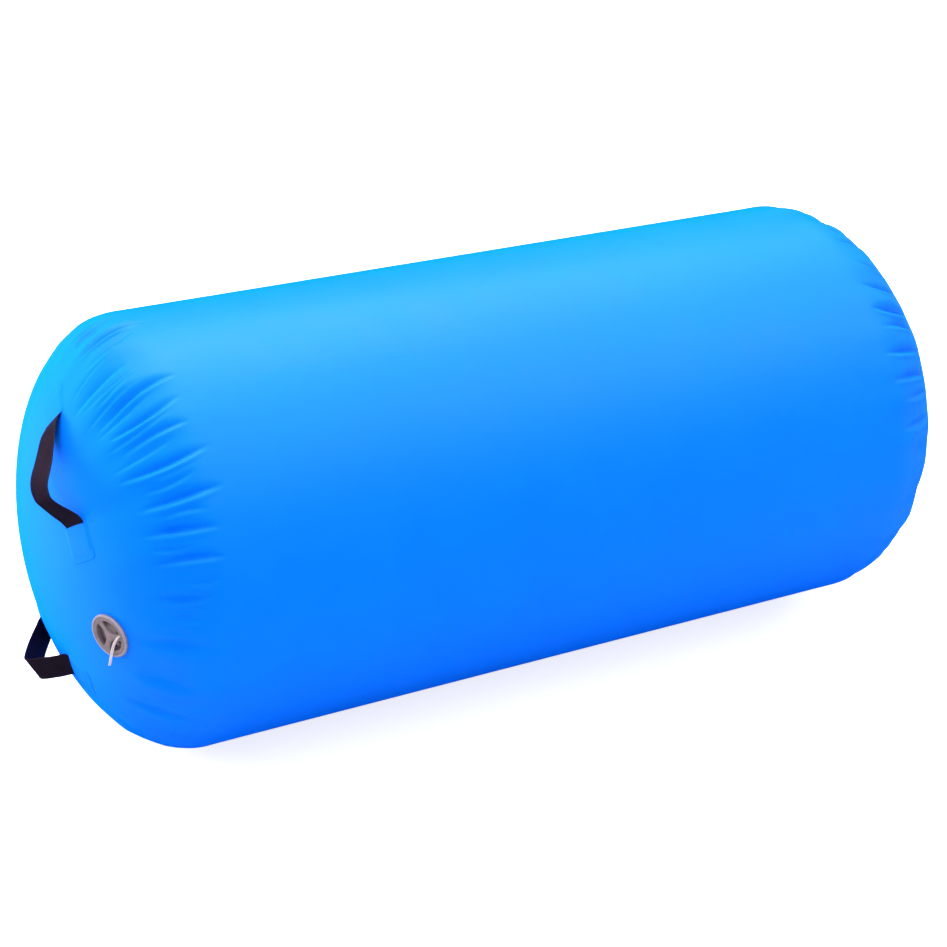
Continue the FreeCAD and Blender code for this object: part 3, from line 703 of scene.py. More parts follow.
def plastic(name, base, worn, rough, painted_shade=None):
    """Moulded plastic: fine spark texture, flow marks, lighter worn edges.

    painted_shade: reach, occlusion range and colour of painted shade in the corners and recesses.
    """
    t = Material(name)
    obj = t.coords()
    spark = t.noise(obj, scale=3800.0, detail=2.0)
    flow = t.noise(t.stretched(obj, (1.0, 1.0, 3.0)), scale=55.0, detail=4.0, rough=.6)
    pointed = t.node("ShaderNodeNewGeometry", "Pointiness")
    wear = t.span(pointed, source=(.515, .58))
    patchy = t.noise(obj, scale=420.0, detail=4.0, rough=.7)
    wear = t.math("MULTIPLY", wear, t.span(patchy, source=(.35, .7), target=(.2, 1.0)))
    colour = t.shade(flow, base, tuple(c * 1.16 for c in base), source=(.3, .7))
    colour = t.mix(wear, colour, worn)
    if painted_shade:
        # painted shade: the colour darkens where ambient occlusion finds corners, pockets and
        # recesses
        open_ = t.node("ShaderNodeAmbientOcclusion", "AO", Distance=painted_shade["reach"], _samples=6)
        colour = t.shade(open_, painted_shade["colour"], colour, source=painted_shade["source"])
    normal = t.node("ShaderNodeBevel", Radius=.00035)
    normal = t.bump(spark, strength=.16, distance=.00006, normal=normal)
    normal = t.bump(flow, strength=.05, distance=.0004, normal=normal)
    roughness = t.math("ADD", t.span(spark, target=(rough - .05, rough + .06)),
                       t.math("MULTIPLY", wear, .08))
    return t.set(Base__Color=colour, Roughness=roughness, Normal=normal,
                 Specular__IOR__Level=.45)


def rubber():
    t = Material("seal_rubber")
    obj = t.coords()
    grain = t.noise(obj, scale=1500.0, detail=4.0, rough=.65)
    mottle = t.noise(obj, scale=90.0, rough=.6)
    colour = t.shade(mottle, (.012, .012, .013), (.022, .021, .023), source=(.35, .65))
    return t.set(Base__Color=colour,
                 Roughness=t.span(grain, source=(.3, .7), target=(.62, .80)),
                 Normal=t.bump(grain, strength=.25, distance=.00006), Specular__IOR__Level=.35)


def steel():
    t = Material("spring_steel")
    brushed = t.stretched(t.coords(), (1.0, 1.0, 14.0))
    grain = t.noise(brushed, scale=900.0, detail=4.0, rough=.7)
    colour = t.shade(grain, (.42, .43, .45), (.56, .56, .58), source=(.3, .7))
    return t.set(Base__Color=colour, Metallic=1.0,
                 Roughness=t.span(grain, source=(.3, .7), target=(.22, .38)),
                 Normal=t.bump(grain, strength=.2, distance=.00003))


def cordage():
    """Braided white cord; the braid is in the mesh, this adds the yarns."""
    t = Material("white_cord")
    u, v = t.uv()
    obj = t.coords()
    yarn = t.ridges(t.math("ADD", u, v), pitch=.00028)
    fuzz = t.noise(obj, scale=4000.0, rough=.7)
    # painted shade: the grooves between the yarns are darker, the yarn crests lighter
    colour = t.shade(yarn, (.40, .335, .36), (.62, .545, .575), source=(.0, .8))
    soil = t.noise(obj, scale=160.0, rough=.6)
    colour = t.shade(soil, colour, (.38, .32, .34), source=(.45, .75), target=(0, .35))
    normal = t.bump(yarn, strength=.4, distance=.00008)
    return t.set(Base__Color=colour,
                 Roughness=t.span(fuzz, source=(.3, .7), target=(.72, .88)),
                 Normal=t.bump(fuzz, strength=.3, distance=.00004, normal=normal),
                 Specular__IOR__Level=.2, Sheen__Weight=.15)


PVC = pvc()
WEBBING = webbing()
# painted shade in the cap's finger pockets and corners
CAP_PLASTIC = plastic("grey_plastic_cap", base=(.180, .138, .152), worn=(.33, .27, .29), rough=.44,
                      painted_shade=dict(reach=.010, source=(.30, .94), colour=(.044, .032, .048)))
# painted shade round the ring's outer flank and bore edge, tinted blue as a painted reflection of
# the skin
RING_PLASTIC = plastic("grey_plastic_ring", base=(.190, .158, .184), worn=(.38, .34, .37), rough=.36,
                       painted_shade=dict(reach=.005, source=(.48, .92), colour=(.020, .040, .10)))
BODY_PLASTIC = plastic("grey_plastic_body", base=(.085, .078, .086), worn=(.15, .14, .15), rough=.48)
STEM_PLASTIC = plastic("grey_plastic_stem", base=(.24, .225, .235), worn=(.36, .34, .35), rough=.40)
RUBBER = rubber()
STEEL = steel()
CORD = cordage()


def dress(ob, mat):
    ob.data.materials.clear()
    ob.data.materials.append(mat)


def finish(ob, mat, body):
    dress(ob, mat)
    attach(ob, body)


def finish_pvc(ob):
    finish(ob, PVC, "roll")


SIDES = ((-1, "near"), (1, "far"))
for side_, word_ in SIDES:
    finish_pvc(end_disc(side_, word_))
    finish_pvc(seam_band(side_, word_))
finish_pvc(side_wall())
finish_pvc(lap_band())

# ------------------------------------------------------------- carry handles
# All given for the near end; the far end's are turned half round the vertical.
# feet, loop_feet: (turn in degrees, radius in metres) of the ends a and b, for
#   the patches and for the loop's line
# twist, mid_twist: of the webbing at its feet and halfway, degrees
# droop: lean of the loop's plane about the chord, degrees
# course: (share of the chord, height over it in mm) between the feet
HANDLES = {
    "upper": dict(feet=((8.0, .197), (52.5, .169)), twist=(8.7, -14.1),
                  loop_feet=((7.8437, .195977), (51.995, .170431)),
                  droop=3.9476, mid_twist=-34.4713,
                  course=[(.10287, 8.5539), (.3912, 23.0447), (.61858, 35.5643),
                          (.75724, 36.5619), (.84526, 29.3044)]),
    "lower": dict(feet=((199.0, .148), (152.5, .150)), twist=(-7.5, -23.5),
                  loop_feet=((191.3625, .147283), (152.2554, .150491)),
                  droop=9.4667, mid_twist=-4.4835,
                  course=[(.08693, 1.4787), (.24704, 7.059), (.39686, 41.487),
                          (.74829, 20.3312), (.98216, 0.0)]),
}
WEB_WIDTH, WEB_THICK = .040, .0018
WEB_RELIEF = .00011
PATCH_LENGTH, PATCH_WIDTH, PATCH_CORNER = .050, .052, .008
PATCH_OFFSET = .0015              # from the foot to the patch's nearer edge
FOLD_AT, FLIGHT_BOW = .385, .003  # lower handle: chord share of its fold, bow before it
TAIL_STATIONS = np.array([.0395, .034, .028, .022, .016, .011, .0075, .0045])


def catmull(points, steps=10):
    """Catmull-Rom curve through the points."""
    points = np.vstack([2 * points[0] - points[1], points, 2 * points[-1] - points[-2]])
    curve = []
    for i in range(1, len(points) - 2):
        p0, p1, p2, p3 = points[i - 1:i + 3]
        for t in np.linspace(0, 1, steps, endpoint=False):
            curve.append(.5 * ((2 * p1) + (-p0 + p2) * t + (2 * p0 - 5 * p1 + 4 * p2 - p3) * t * t
                               + (-p0 + 3 * p1 - 3 * p2 + p3) * t ** 3))
    curve.append(points[-2])
    return np.array(curve)


def lengths_along(points):
    steps = np.linalg.norm(np.diff(points, axis=0), axis=1)
    return np.concatenate([[0], np.cumsum(steps)])


def resample(step, points, *others):
    """Even stations along a line, then the line and the other values at them."""
    along = lengths_along(points)
    stations = np.linspace(0, along[-1], int(round(along[-1] / step)) + 1)
    return stations, *(np.stack([np.interp(stations, along, column) for column in values.T], -1)
                       for values in (points, *others))


def blur(values, width):
    """Gaussian blur along a line that is carried on straight at both ends."""
    taps = np.arange(-3 * width, 3 * width + 1)
    kernel = np.exp(-.5 * (taps / width) ** 2)
    kernel /= kernel.sum()
    pad = len(taps) // 2
    before = values[:1] - (values[1] - values[0]) * np.arange(pad, 0, -1)[:, None]
    after = values[-1:] + (values[-1] - values[-2]) * np.arange(1, pad + 1)[:, None]
    padded = np.concatenate([before, values, after])
    return np.stack([np.convolve(column, kernel, "valid") for column in padded.T], -1)


def loop_line(handle):
    """Centre line and widths of the relaxed loop, its chord and rise directions,
    and the width directions at its two feet."""
    (point_a, normal_a), (point_b, normal_b) = (on_near_dome(*f) for f in handle["loop_feet"])
    droop, twist_a, twist_b, mid_twist = (
        math.radians(v) for v in (handle["droop"], *handle["twist"], handle["mid_twist"]))
    start = point_a + normal_a * .0025
    chord = point_b + normal_b * .0025 - start
    span = np.linalg.norm(chord)
    chord /= span
    _, normal = on_near_dome(*np.mean(handle["loop_feet"], axis=0))
    normal = unit(normal - (normal @ chord) * chord)
    rise = normal * math.cos(droop) + np.cross(chord, normal) * math.sin(droop)
    control = [[0, 0]] + [[u * span, v * .001] for u, v in handle["course"]] + [[span, 0]]
    curve = catmull(np.array(control))
    line = start + curve[:, :1] * chord + curve[:, 1:] * rise
    along = lengths_along(curve)
    across_a = rotate(unit(np.cross(chord, normal_a)), normal_a, twist_a)
    across_b = rotate(unit(np.cross(chord, normal_b)), normal_b, twist_b)
    across_mid = rotate(np.cross(chord, rise), rise, mid_twist)
    share = along / along[-1]
    near_a, near_b = smooth(1 - 2 * share)[:, None], smooth(2 * share - 1)[:, None]
    widths = across_mid * (1 - near_a - near_b) + across_a * near_a + across_b * near_b
    return line, widths, chord, rise, across_a, across_b


def foot(handle, end):
    """Foot point, normal, direction away along the patch and direction across."""
    places = [on_near_dome(*place) for place in handle["feet"]]
    pivot_a, pivot_b = (point + normal * .005 for point, normal in places)
    point, normal = places[end]
    along = unit(pivot_b - pivot_a)
    away = -along if end == 0 else along
    away = unit(away - (away @ normal) * normal)
    away = rotate(away, normal, math.radians(handle["twist"][end]))
    return point, normal, away, np.cross(normal, away)


def turned(p):
    """Near end to far end: half a turn about the vertical axis."""
    return p * np.array([-1, -1, 1.0])


def settle_as(p, side):
    """Like settle, in near-end coordinates whichever end the piece is for."""
    if side < 0:
        return settle(p, -1)
    on, normal = settle(turned(np.asarray(p)), 1)
    return turned(on), turned(normal)


def patch_distance(x, y):
    """Signed distance to the patch's rounded outline, from its middle."""
    dx = np.abs(x) - (PATCH_LENGTH / 2 - PATCH_CORNER)
    dy = np.abs(y) - (PATCH_WIDTH / 2 - PATCH_CORNER)
    outside = np.hypot(np.maximum(dx, 0), np.maximum(dy, 0))
    return outside + np.minimum(np.maximum(dx, dy), 0) - PATCH_CORNER


def patch_outline(count):
    """Where rays from the middle meet the outline, by bisection."""
    angle = np.linspace(0, TAU, count, endpoint=False)
    ray_x, ray_y = np.cos(angle), np.sin(angle)
    low, high = np.zeros(count), np.full(count, .06)
    for _ in range(40):
        middle = (low + high) / 2
        inside = patch_distance(ray_x * middle, ray_y * middle) < 0
        low, high = np.where(inside, middle, low), np.where(inside, high, middle)
    return np.stack([ray_x * low, ray_y * low], -1)


def patch(word, level, end, side):
    """Welded PVC patch: follows the skin, stands up over the webbing tail."""
    point, _, away, across = foot(HANDLES[level], end)
    half, count = PATCH_LENGTH / 2, 176
    scales = np.concatenate([np.linspace(.02, .80, 15), np.linspace(.83, .985, 12),
                             [.992, .997, 1.0]])
    plan = scales[:, None, None] * patch_outline(count)
    x, y = plan[..., 0] + half + PATCH_OFFSET, plan[..., 1]          # x: from the foot
    edge = -patch_distance(plan[..., 0], y)
    far_end = smooth((x - .036) / .012)
    film = .00045 + .00035 * far_end
    # webbing tail beneath: full height over it, falling off beside it
    over = smooth((WEB_WIDTH / 2 + .0050 - np.abs(y)) / .0062) * smooth((.0455 - x) / .0075)
    rise = film + (.00100 - .0003 * far_end) * over
    # outer rim rolls down to the skin, except at the mouth where the webbing leaves
    rim = smooth(edge / (.0018 - .0009 * far_end))
    mouth = smooth((.0075 - x) / .004) * smooth((WEB_WIDTH / 2 + .002 - np.abs(y)) / .002)
    rise = rise * (.18 + .82 * np.maximum(rim, mouth * .93))
    # welded border: a shallow pressed line inside the edge
    rise = rise - .00005 * np.exp(-((edge - .0038) / .0009) ** 2) * (1 - over)
    # the ghost of box stitching in the webbing under the film
    stitch = np.exp(-((np.abs(y) - .0145) / .0009) ** 2) * smooth((x - .004) / .002)
    rise = rise - .00004 * over * stitch
    on, normal = settle_as(point + x[..., None] * away + y[..., None] * across, side)
    top = on + normal * rise[..., None]
    low = on[-1] - normal[-1] * .0005
    hub, hub_normal = settle_as((point + (half + PATCH_OFFSET) * away)[None], side)
    verts = np.concatenate([top.reshape(-1, 3), low, hub + hub_normal * rise[0, 0],
                            hub - hub_normal * .0005])
    if side > 0:
        verts = turned(verts)
    uv = np.stack([x, y], -1).reshape(-1, 2)
    uv = np.concatenate([uv, uv[-count:], [[half, 0], [half, 0]]])
    ob = capped_mesh("%s_%s_handle_patch_%s" % (word, level, "ab"[end]), verts,
                     len(scales) + 1, count, uv, flip=True)
    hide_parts("%s_%s_handle_patches" % (word, level))
    return ob


def strap_course(level, side):
    """Centre line and widths tail to tail, the feet's points and normals, the rise."""
    handle = HANDLES[level]
    line, widths, chord, rise, across_a, across_b = loop_line(handle)
    tails, feet = [], []
    for end in (0, 1):
        point, normal, away, _ = foot(handle, end)
        on, skin_normal = settle_as(point + TAIL_STATIONS[:, None] * away, side)
        tails.append(on + skin_normal * .00055)
        feet.append((point, normal))
    if level == "lower":
        # one straight flight from the foot up to the fold
        share = ((line - line[0]) @ chord) / np.linalg.norm(line[-1] - line[0])
        fold = int(np.argmax(share > FOLD_AT))
        t = np.linspace(.06, .94, 9)[:, None]
        start = feet[0][0] + feet[0][1] * .0022
        flight = start + (line[fold] - start) * t + rise * FLIGHT_BOW * np.sin(np.pi * t)
        turn = smooth(t * 1.1)
        flight_widths = unit(across_a * (1 - turn) + unit(widths[fold]) * turn)
        line = np.concatenate([flight, line[fold:]])
        widths = np.concatenate([flight_widths, widths[fold:]])
    else:
        line, widths = line[1:-1], widths[1:-1]
    held_a, held_b = (np.repeat(w[None], len(TAIL_STATIONS), 0) for w in (across_a, across_b))
    return (np.concatenate([tails[0], line, tails[1][::-1]]),
            np.concatenate([held_a, widths, held_b]), feet, rise)


def half_thickness(stations, across):
    """Half the webbing's thickness with its weave, stations by columns."""
    ribs = np.abs(np.sin(across * math.pi / RIB_PITCH))
    zigzag = np.abs((across / RIB_PITCH) % 2 - 1) * RIB_PITCH
    yarn = np.abs(np.sin((stations[:, None] + zigzag) * math.pi / .0022))
    relief = WEB_RELIEF * ribs * (.72 + .28 * yarn)
    rounding = np.clip((np.abs(across) - (WEB_WIDTH / 2 - .0009)) / .0009, 0, 1)
    edge = np.sqrt(np.clip(1 - rounding ** 2, .05, 1))
    # selvedge cords along both edges
    selvedge = .00016 * np.exp(-((np.abs(across) - .0186) / .0006) ** 2)
    # pressed flat where the patches hold it
    free = smooth((np.minimum(stations, stations[-1] - stations) - .030) / .012)[:, None]
    return (WEB_THICK / 2 - WEB_RELIEF + relief + selvedge) * edge * (.45 + .55 * free)


def strap(word, level, side):
    line, widths, feet, rise = strap_course(level, side)
    (point_a, normal_a), (point_b, normal_b) = feet
    stations, line, widths = resample(.001, line, widths)
    line, widths = blur(line, 3), blur(widths, 6)
    tangent = unit(np.gradient(line, axis=0))
    widths = unit(widths - .7 * (widths * tangent).sum(-1, keepdims=True) * tangent)
    normal = unit(np.cross(tangent, widths))
    # towards the outside
    if (normal @ unit(normal_a + normal_b)).mean() < 0:
        normal = -normal
    across = np.linspace(-WEB_WIDTH / 2, WEB_WIDTH / 2, 73)
    half = half_thickness(stations, across)
    middle = line[:, None, :] + across[None, :, None] * widths[:, None, :]
    # the tails lie flat on the curved skin under the patches
    from_end = np.minimum(stations, stations[-1] - stations)
    held = (1 - smooth((from_end - .033) / .009))[:, None, None]
    on, skin_normal = settle_as(middle, side)
    middle = middle * (1 - held) + (on + skin_normal * .00068) * held
    normal = np.broadcast_to(normal[:, None, :], middle.shape)
    facing = np.sign((normal * skin_normal).sum(-1, keepdims=True))
    normal = unit(normal * (1 - held) + skin_normal * facing * held)
    top = middle + normal * half[..., None]
    low = middle - normal * half[..., None]
    # lift anything that would sink into the skin
    for layer, gap in ((top, .00022 + 2 * half), (low, .00022)):
        on, skin_normal = settle_as(layer, side)
        near = np.linalg.norm(layer - on, axis=-1) < .02
        height = ((layer - on) * skin_normal).sum(-1)
        push = np.where(near | (height < 0), np.maximum(gap - height, 0), 0)
        layer += skin_normal * push[..., None]
    if side > 0:
        top, low = turned(top), turned(low)
    ob = slab("%s_%s_handle_strap" % (word, level), top, low, grid_uv(stations, across))
    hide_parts("%s_%s_handle_loop" % (word, level), "%s_%s_handle_ends" % (word, level))
    dress(ob, WEBBING)
    # start point and rise direction for passing the strap from the roll's motion to the handle's;
    # nothing uses them
    start = (point_a + normal_a * .004 + point_b + normal_b * .004) / 2
    chord = unit(point_b - point_a)
    rise = unit(rise)
    rise = unit(rise - (rise @ chord) * chord)
    if side > 0:
        start, rise = turned(start), turned(rise)
    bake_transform(ob)


for side_, word_ in SIDES:
    for level_ in HANDLES:
        strap(word_, level_, side_)
        for end_ in (0, 1):
            finish_pvc(patch(word_, level_, end_, side_))

# ---------------------------------------------------------------- the valve
# Valve pieces are laid out in millimetres, z out along the valve's own axis.
VALVE_X = unit(np.cross([0, 0, 1.0], VALVE_N))
VALVE_Y = np.cross(VALVE_N, VALVE_X)
POCKET_TURNS = (70, 190, 310)           # degrees
POCKET_IN, POCKET_OUT = 6.9, 21.4       # radii of a pocket's ends
# straight side of a pocket: (radius, degrees off its centre line) of both ends
POCKET_SIDE = ((6.4, 21.95), (21.4, 46))
THREAD_PITCH, THREAD_ROOT, THREAD_DEPTH = 4.0, 23.25, .70
THREAD_TOP, THREAD_END = .6, -10.9
# (radius, z) round the cap's rim, and from the thread's end to the underside
CAP_RIM = [(25.85, 3.0), (26.10, 2.93), (26.32, 2.72), (26.42, 2.5), (26.45, 2.2), (26.45, 1.6),
           (26.42, 1.2), (26.3, 1.03), (26.0, 1.0), (24.4, 1.0), (23.9, .95)]
CAP_UNDERSIDE = [(23.1, -11.2), (22.8, -11.3), (14.0, -11.3), (11.7, -11.3), (11.5, -11.2),
                 (11.5, -10.0), (11.5, -8.6), (11.3, -8.4), (6.0, -8.4), (.3, -8.4)]
CORD_X, CORD_Y = 20.6, 7.6              # where the cord enters the cap
# cord's way out of the cap: x, y, z
CORD_WAY = np.array([
    [CORD_X, CORD_Y, 2.2], [20.7, 7.5, 5.2], [18.8, 3.6, 8.3], [15.6, -4.0, 10.4],
    [11.6, -14.0, 10.7], [6.4, -25.0, 9.4], [.4, -35.5, 6.4], [-4.6, -43.6, 4.2]])
CORD_RADIUS, CORD_STEP = .84, .33
COLLAR = [(2.3, 2.0), (3.15, 2.0), (3.2, 2.75), (3.05, 3.15), (2.75, 3.35), (2.45, 3.25),
          (2.3, 3.0)]                   # section: radius, z
SPRING_BASE, SPRING_LENGTH, SPRING_RADIUS, SPRING_TURNS = -24.95, 7.9, 4.3, 2.464
SPRING_WIRE = .5                        # wire radius


def valve(p):
    """Valve millimetres to metres in the roll's frame."""
    p = np.asarray(p, float) * .001
    return VALVE_P + p[..., :1] * VALVE_X + p[..., 1:2] * VALVE_Y + p[..., 2:3] * VALVE_N


def smooth_max(a, b, width):
    share = np.clip(.5 + .5 * (a - b) / width, 0, 1)
    return b + (a - b) * share + width * share * (1 - share)


def pocket_distance(x, y):
    """Signed distance to the nearest of the three finger pockets."""
    inner, outer = (np.array([r * math.cos(math.radians(a)), r * math.sin(math.radians(a))])
                    for r, a in POCKET_SIDE)
    along = unit(outer - inner)
    best = np.full(x.shape, 99.0)
    for turn in POCKET_TURNS:
        a = math.radians(turn)
        u, v = x * math.cos(a) + y * math.sin(a), -x * math.sin(a) + y * math.cos(a)
        r = np.hypot(u, v)
        du, dv = u - inner[0], np.abs(v) - inner[1]
        # sides of the spokes are slightly hollow
        share = np.clip((du * along[0] + dv * along[1]) / np.linalg.norm(outer - inner), 0, 1)
        side = -along[1] * du + along[0] * dv - .75 * np.sin(np.pi * share)
        distance = smooth_max(smooth_max(r - POCKET_OUT, POCKET_IN - r, 1.2), side, 2.2)
        best = np.minimum(best, np.where(u > 0, distance, 50))
    return best


def circle(turns, radius, z):
    return np.stack([radius * np.cos(turns), radius * np.sin(turns), np.full(len(turns), z)], -1)


def cap_face(turns):
    """Rings of the cap's face: hub, three spokes and the scooped pockets."""
    radii = np.concatenate([np.linspace(.25, 5.6, 14), np.linspace(5.9, 8.2, 10),
                            np.linspace(8.5, 19.6, 34), np.linspace(19.75, 22.4, 16),
                            np.linspace(22.7, 25.5, 9)])
    r, turn = np.meshgrid(radii, turns, indexing="ij")
    x, y = r * np.cos(turn), r * np.sin(turn)
    distance = pocket_distance(x, y)
    top = 2.4 + .6 * smooth((r - 20.6) / 1.6)
    # hub dome and crowned spokes
    top = top + .45 * np.exp(-(r / 5.2) ** 4)
    from_edge = np.clip((distance - .2) / 3.6, 0, 1)
    top = top - .35 * (1 - np.sqrt(np.clip(1 - (1 - from_edge) ** 2, 0, 1)))
    # narrow step round the rim, where the cap's flange meets its face
    top = top - .30 * np.exp(-((r - 22.9) / .28) ** 2)
    # each finger pocket is scooped: shallow by the hub, deep at the rim
    bottom = -1.2 - 3.1 * smooth((r - 10.0) / 10.5) + .35 * smooth((1.8 + distance) / 1.8)
    # two round holes in the last pocket
    for offset in (-27.0, 27.0):
        a = math.radians(POCKET_TURNS[2] + offset)
        hole = np.hypot(x - 16.2 * math.cos(a), y - 16.2 * math.sin(a)) - 3.2
        deeper = bottom + (-7.0 - bottom) * smooth((.35 - hole) / .8)
        bottom = np.where(hole < .35, deeper, bottom)
    z = top + (bottom - top) * smooth((.30 - distance) / 1.45)
    return np.stack([x, y, z], -1)


def moulded_cap():
    count = 480
    turns = np.linspace(0, TAU, count, endpoint=False)
    rings = [*cap_face(turns)]
    rings += [circle(turns, r, z) for r, z in CAP_RIM]
    # right-handed screw thread
    for z in np.linspace(THREAD_TOP, THREAD_END, 44):
        phase = (z / THREAD_PITCH - turns / TAU) % 1.0
        ridge = np.clip((np.minimum(phase, 1 - phase) * 2 - .28) / .44, 0, 1)
        fade = smooth((THREAD_TOP - z) / 1.4) * smooth((z - THREAD_END) / 1.0)
        rings.append(circle(turns, THREAD_ROOT + THREAD_DEPTH * ridge * fade, z))
    rings += [circle(turns, r, z) for r, z in CAP_UNDERSIDE]
    hubs = [[0, 0, rings[0][:, 2].mean()], [0, 0, CAP_UNDERSIDE[-1][1]]]
    verts = np.concatenate([*rings, hubs])
    ob = capped_mesh("valve_cap_moulded", valve(verts), len(rings), count, verts[:, :2] * .001,
                     flip=True)
    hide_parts("valve_cap")
    return ob


def tube_mesh(name, line, radius, sides, braid=None):
    """Tube along a line in metres; braid: pitch, strands and depth of its relief."""
    tangent = unit(np.gradient(line, axis=0))
    first = [unit(np.cross(tangent[0], VALVE_N + .1))]
    for t in tangent[1:]:
        first.append(unit(first[-1] - (first[-1] @ t) * t))
    first = np.array(first)
    second = np.cross(tangent, first)
    angle = np.linspace(0, TAU, sides, endpoint=False)
    along = lengths_along(line)
    radii = np.full((len(line), sides), radius)
    if braid:
        pitch, strands, depth = braid
        around, onward = strands * angle[None, :] / 2, np.pi * along[:, None] / pitch
        crossing = np.maximum(np.abs(np.sin(around + onward)), np.abs(np.sin(around - onward)))
        radii *= 1 + depth * (crossing - .85)
    spokes = (np.cos(angle)[None, :, None] * first[:, None, :]
              + np.sin(angle)[None, :, None] * second[:, None, :])
    rings = line[:, None, :] + radii[..., None] * spokes
    verts = np.concatenate([rings.reshape(-1, 3), line[:1], line[-1:]])
    uv = grid_uv(along, angle * radius).reshape(-1, 2)
    uv = np.concatenate([uv, [[0, 0], [along[-1], 0]]])
    return capped_mesh(name, verts, len(line), sides, uv)


def lanyard():
    """Doubled braided cord: two strands side by side, joined in a bight."""
    stations, centre = resample(CORD_STEP, catmull(CORD_WAY, 24))
    centre = blur(centre, 5)
    tangent = unit(np.gradient(centre, axis=0))
    share = stations / stations[-1]
    side = unit(np.cross(tangent, [0, 0, 1.0]))
    up = np.cross(side, tangent)
    # the pair rolls over as it leaves the cap and again towards the bight
    roll = 80 * (1 - smooth((share - .05) / .38)) + 62 * smooth((share - .62) / .36)
    roll = np.radians(roll)[:, None]
    offset = side * np.cos(roll) + up * np.sin(roll)
    spread = CORD_RADIUS + .30 * np.sin(np.pi * np.clip((share - .15) / .7, 0, 1)) ** 2
    spread = spread[:, None]
    one, two = centre + offset * spread, centre - offset * spread
    angle = np.linspace(0, np.pi, 14)[1:-1, None]
    reach = spread[-1, 0]
    bight = (centre[-1] + offset[-1] * reach * np.cos(angle)
             + tangent[-1] * reach * 1.25 * np.sin(angle))
    _, path = resample(CORD_STEP, np.concatenate([one, bight, two[::-1]]))
    ob = tube_mesh("cap_lanyard", valve(path), CORD_RADIUS * .001, sides=24,
                   braid=(.0022, 6, .16))
    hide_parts("cap_cord")
    return ob


def eyelet():
    """Small moulded collar where the cord goes into the spoke."""
    turns = np.linspace(0, TAU, 64, endpoint=False)
    rings = np.concatenate([circle(turns, r * .92, z) for r, z in COLLAR + COLLAR[:1]])
    rings += [CORD_X, CORD_Y, 0]
    faces = grid_faces(len(COLLAR) + 1, len(turns), wrap=True)
    return make_mesh("cap_cord_collar", valve(rings), [faces], rings[:, :2] * .001)


def return_spring():
    """Coil between the spider and the stem's button."""
    t = np.linspace(0, 1, 190)
    angle = TAU * SPRING_TURNS * t
    z = SPRING_BASE + SPRING_WIRE + (SPRING_LENGTH - 2 * SPRING_WIRE) * t
    line = np.stack([SPRING_RADIUS * np.cos(angle), SPRING_RADIUS * np.sin(angle), z], -1)
    ob = tube_mesh("valve_return_coil", valve(line), SPRING_WIRE * .001, sides=16)
    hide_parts("valve_spring")
    return ob


finish(moulded_cap(), CAP_PLASTIC, "cap")
finish(lanyard(), CORD, "cap")
finish(eyelet(), CAP_PLASTIC, "cap")
coil = return_spring()
finish(coil, STEEL, "roll")
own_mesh(coil)

# pieces that keep their CAD shape
for name_, mat_ in {
        "valve_body": BODY_PLASTIC, "valve_lock_ring": RING_PLASTIC, "valve_gasket": RUBBER,
        "cap_seal": RUBBER, "diaphragm_seal": RUBBER, "diaphragm_plate": STEM_PLASTIC,
        "valve_stem": STEM_PLASTIC, "stem_clip": STEEL}.items():
    dress(NODES[name_], mat_)
    shade_smooth(NODES[name_].data)

# ------------------------------------------------------------- stage and light
FLOOR_HALF = 30
FLOOR_DROP = .0006
FLOOR_GLOW = .74
WORLD_DIFFUSE, WORLD_GLOSS = 1.40, 1.6


def floor_material():
    """A lit sweep: nearly white when seen directly, it bounces as a pale grey."""
    t = Material("pale_floor")
    mottle = t.noise(t.coords(), scale=3.0)
    colour = t.shade(mottle, (.560, .563, .570), (.572, .574, .579), source=(.3, .7))
    seen = t.node("ShaderNodeLightPath", "Is Camera Ray")
    return t.set(Base__Color=colour, Roughness=.9, Specular__IOR__Level=.1,
                 Emission__Color=(1.0, 1.0, 1.0),
                 Emission__Strength=t.math("MULTIPLY", seen, FLOOR_GLOW))


def add_floor():
    mesh = bpy.data.meshes.new("floor")
    corners = [(x * FLOOR_HALF, y * FLOOR_HALF, 0) for x, y in ((-1, -1), (1, -1), (1, 1), (-1, 1))]
    mesh.from_pydata(corners, [], [(0, 1, 2, 3)])
    floor = add_object("floor", mesh)
    floor.location.z = -FLOOR_DROP
    dress(floor, floor_material())
    floor.visible_glossy = False


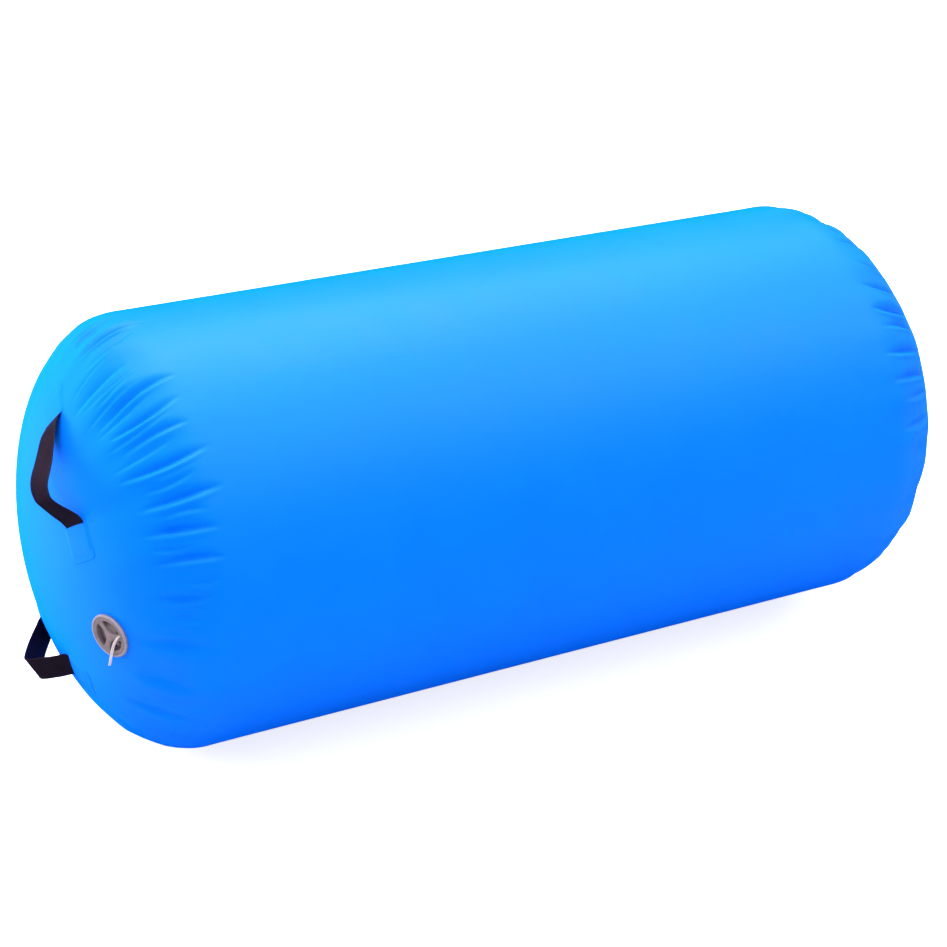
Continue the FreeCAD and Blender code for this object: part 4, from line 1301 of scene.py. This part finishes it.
def add_world():
    """Evenly bright to matt surfaces; reflected, it fades out towards the back (+y)
    and the horizon."""
    world = bpy.data.worlds.new("studio")
    world.use_nodes = True
    bpy.context.scene.world = world
    t = Nodes(world.node_tree)
    background = t.tree.nodes["Background"]
    glossy = t.node("ShaderNodeLightPath", "Is Glossy Ray")
    _, y, z = t.split(t.node("ShaderNodeTexCoord", "Generated"))
    above = t.span(z, source=(-.05, .6), eased=True)
    ahead = t.span(y, source=(.8, .1), eased=True)
    reflected = t.math("MULTIPLY", above, ahead, c=None)
    reflected = t.math("MULTIPLY", reflected, WORLD_GLOSS, c=None)
    # a float mix: its factor, A and B are inputs 0, 2 and 3
    mix = t.tree.nodes.new("ShaderNodeMix")
    for index, value in ((0, glossy), (2, WORLD_DIFFUSE), (3, reflected)):
        t.put(mix.inputs[index], value)
    t.put(background.inputs["Strength"], mix.outputs[0])
    background.inputs["Color"].default_value = (1, 1, 1, 1)
    world.cycles.sampling_method = "NONE"


def softbox(name, direction, distance, size, level, centre=(0, 0, .3), glossy=True, diffuse=True):
    """level: brightness it gives a white surface that faces it."""
    direction = Vector(direction).normalized()
    light = bpy.data.lights.new(name, "AREA")
    light.shape = "RECTANGLE"
    light.size, light.size_y = size
    light.energy = level * math.pi ** 2 * distance ** 2
    ob = add_object(name, light)
    ob.location = Vector(centre) + direction * distance
    ob.rotation_mode = "QUATERNION"
    ob.rotation_quaternion = (-direction).to_track_quat("-Z", "Y")
    ob.visible_glossy, ob.visible_diffuse = glossy, diffuse
    ob.visible_camera = False


def add_camera():
    data = bpy.data.cameras.new("camera")
    data.sensor_width, data.lens = 36.0, 76.03
    data.clip_start, data.clip_end = .05, 60
    camera = add_object("camera", data)
    camera.location = (-1.2009, -2.3598, 1.5239)
    # looks 25.22 degrees down, 26.52 degrees from +y towards +x
    camera.rotation_euler = (math.radians(90 - 25.22), 0, -math.radians(26.52))
    bpy.context.scene.camera = camera


add_floor()
add_world()
KEY_LEAN = math.radians(20)
softbox("key_overhead", direction=(0, math.sin(KEY_LEAN), math.cos(KEY_LEAN)), distance=4.0,
        size=(4.0, 3.0), level=1.9)
softbox("back_left", direction=(-.60, .80, .0), distance=1.7, size=(1.2, .56), level=2.7,
        centre=(-.62, 0, .30), glossy=False)
softbox("back_right", direction=(.84, .54, .0), distance=2.0, size=(1.2, .56), level=1.5,
        centre=(.62, 0, .30), glossy=False)
softbox("front_fill", direction=(.30, -.34, .89), distance=4.0, size=(3.0, 3.0), level=.15,
        glossy=False)
softbox("front_sheen", direction=(.39, -.46, .80), distance=4.0, size=(3.0, 2.2), level=3.6,
        diffuse=False)
softbox("key_sheen", direction=(.12, .30, .94), distance=4.0, size=(4.0, 3.0), level=2.6,
        diffuse=False)

view = bpy.context.scene.view_settings
view.view_transform = "Standard"
view.look = "None"
view.exposure = 0.0
view.gamma = 1.0
add_camera()
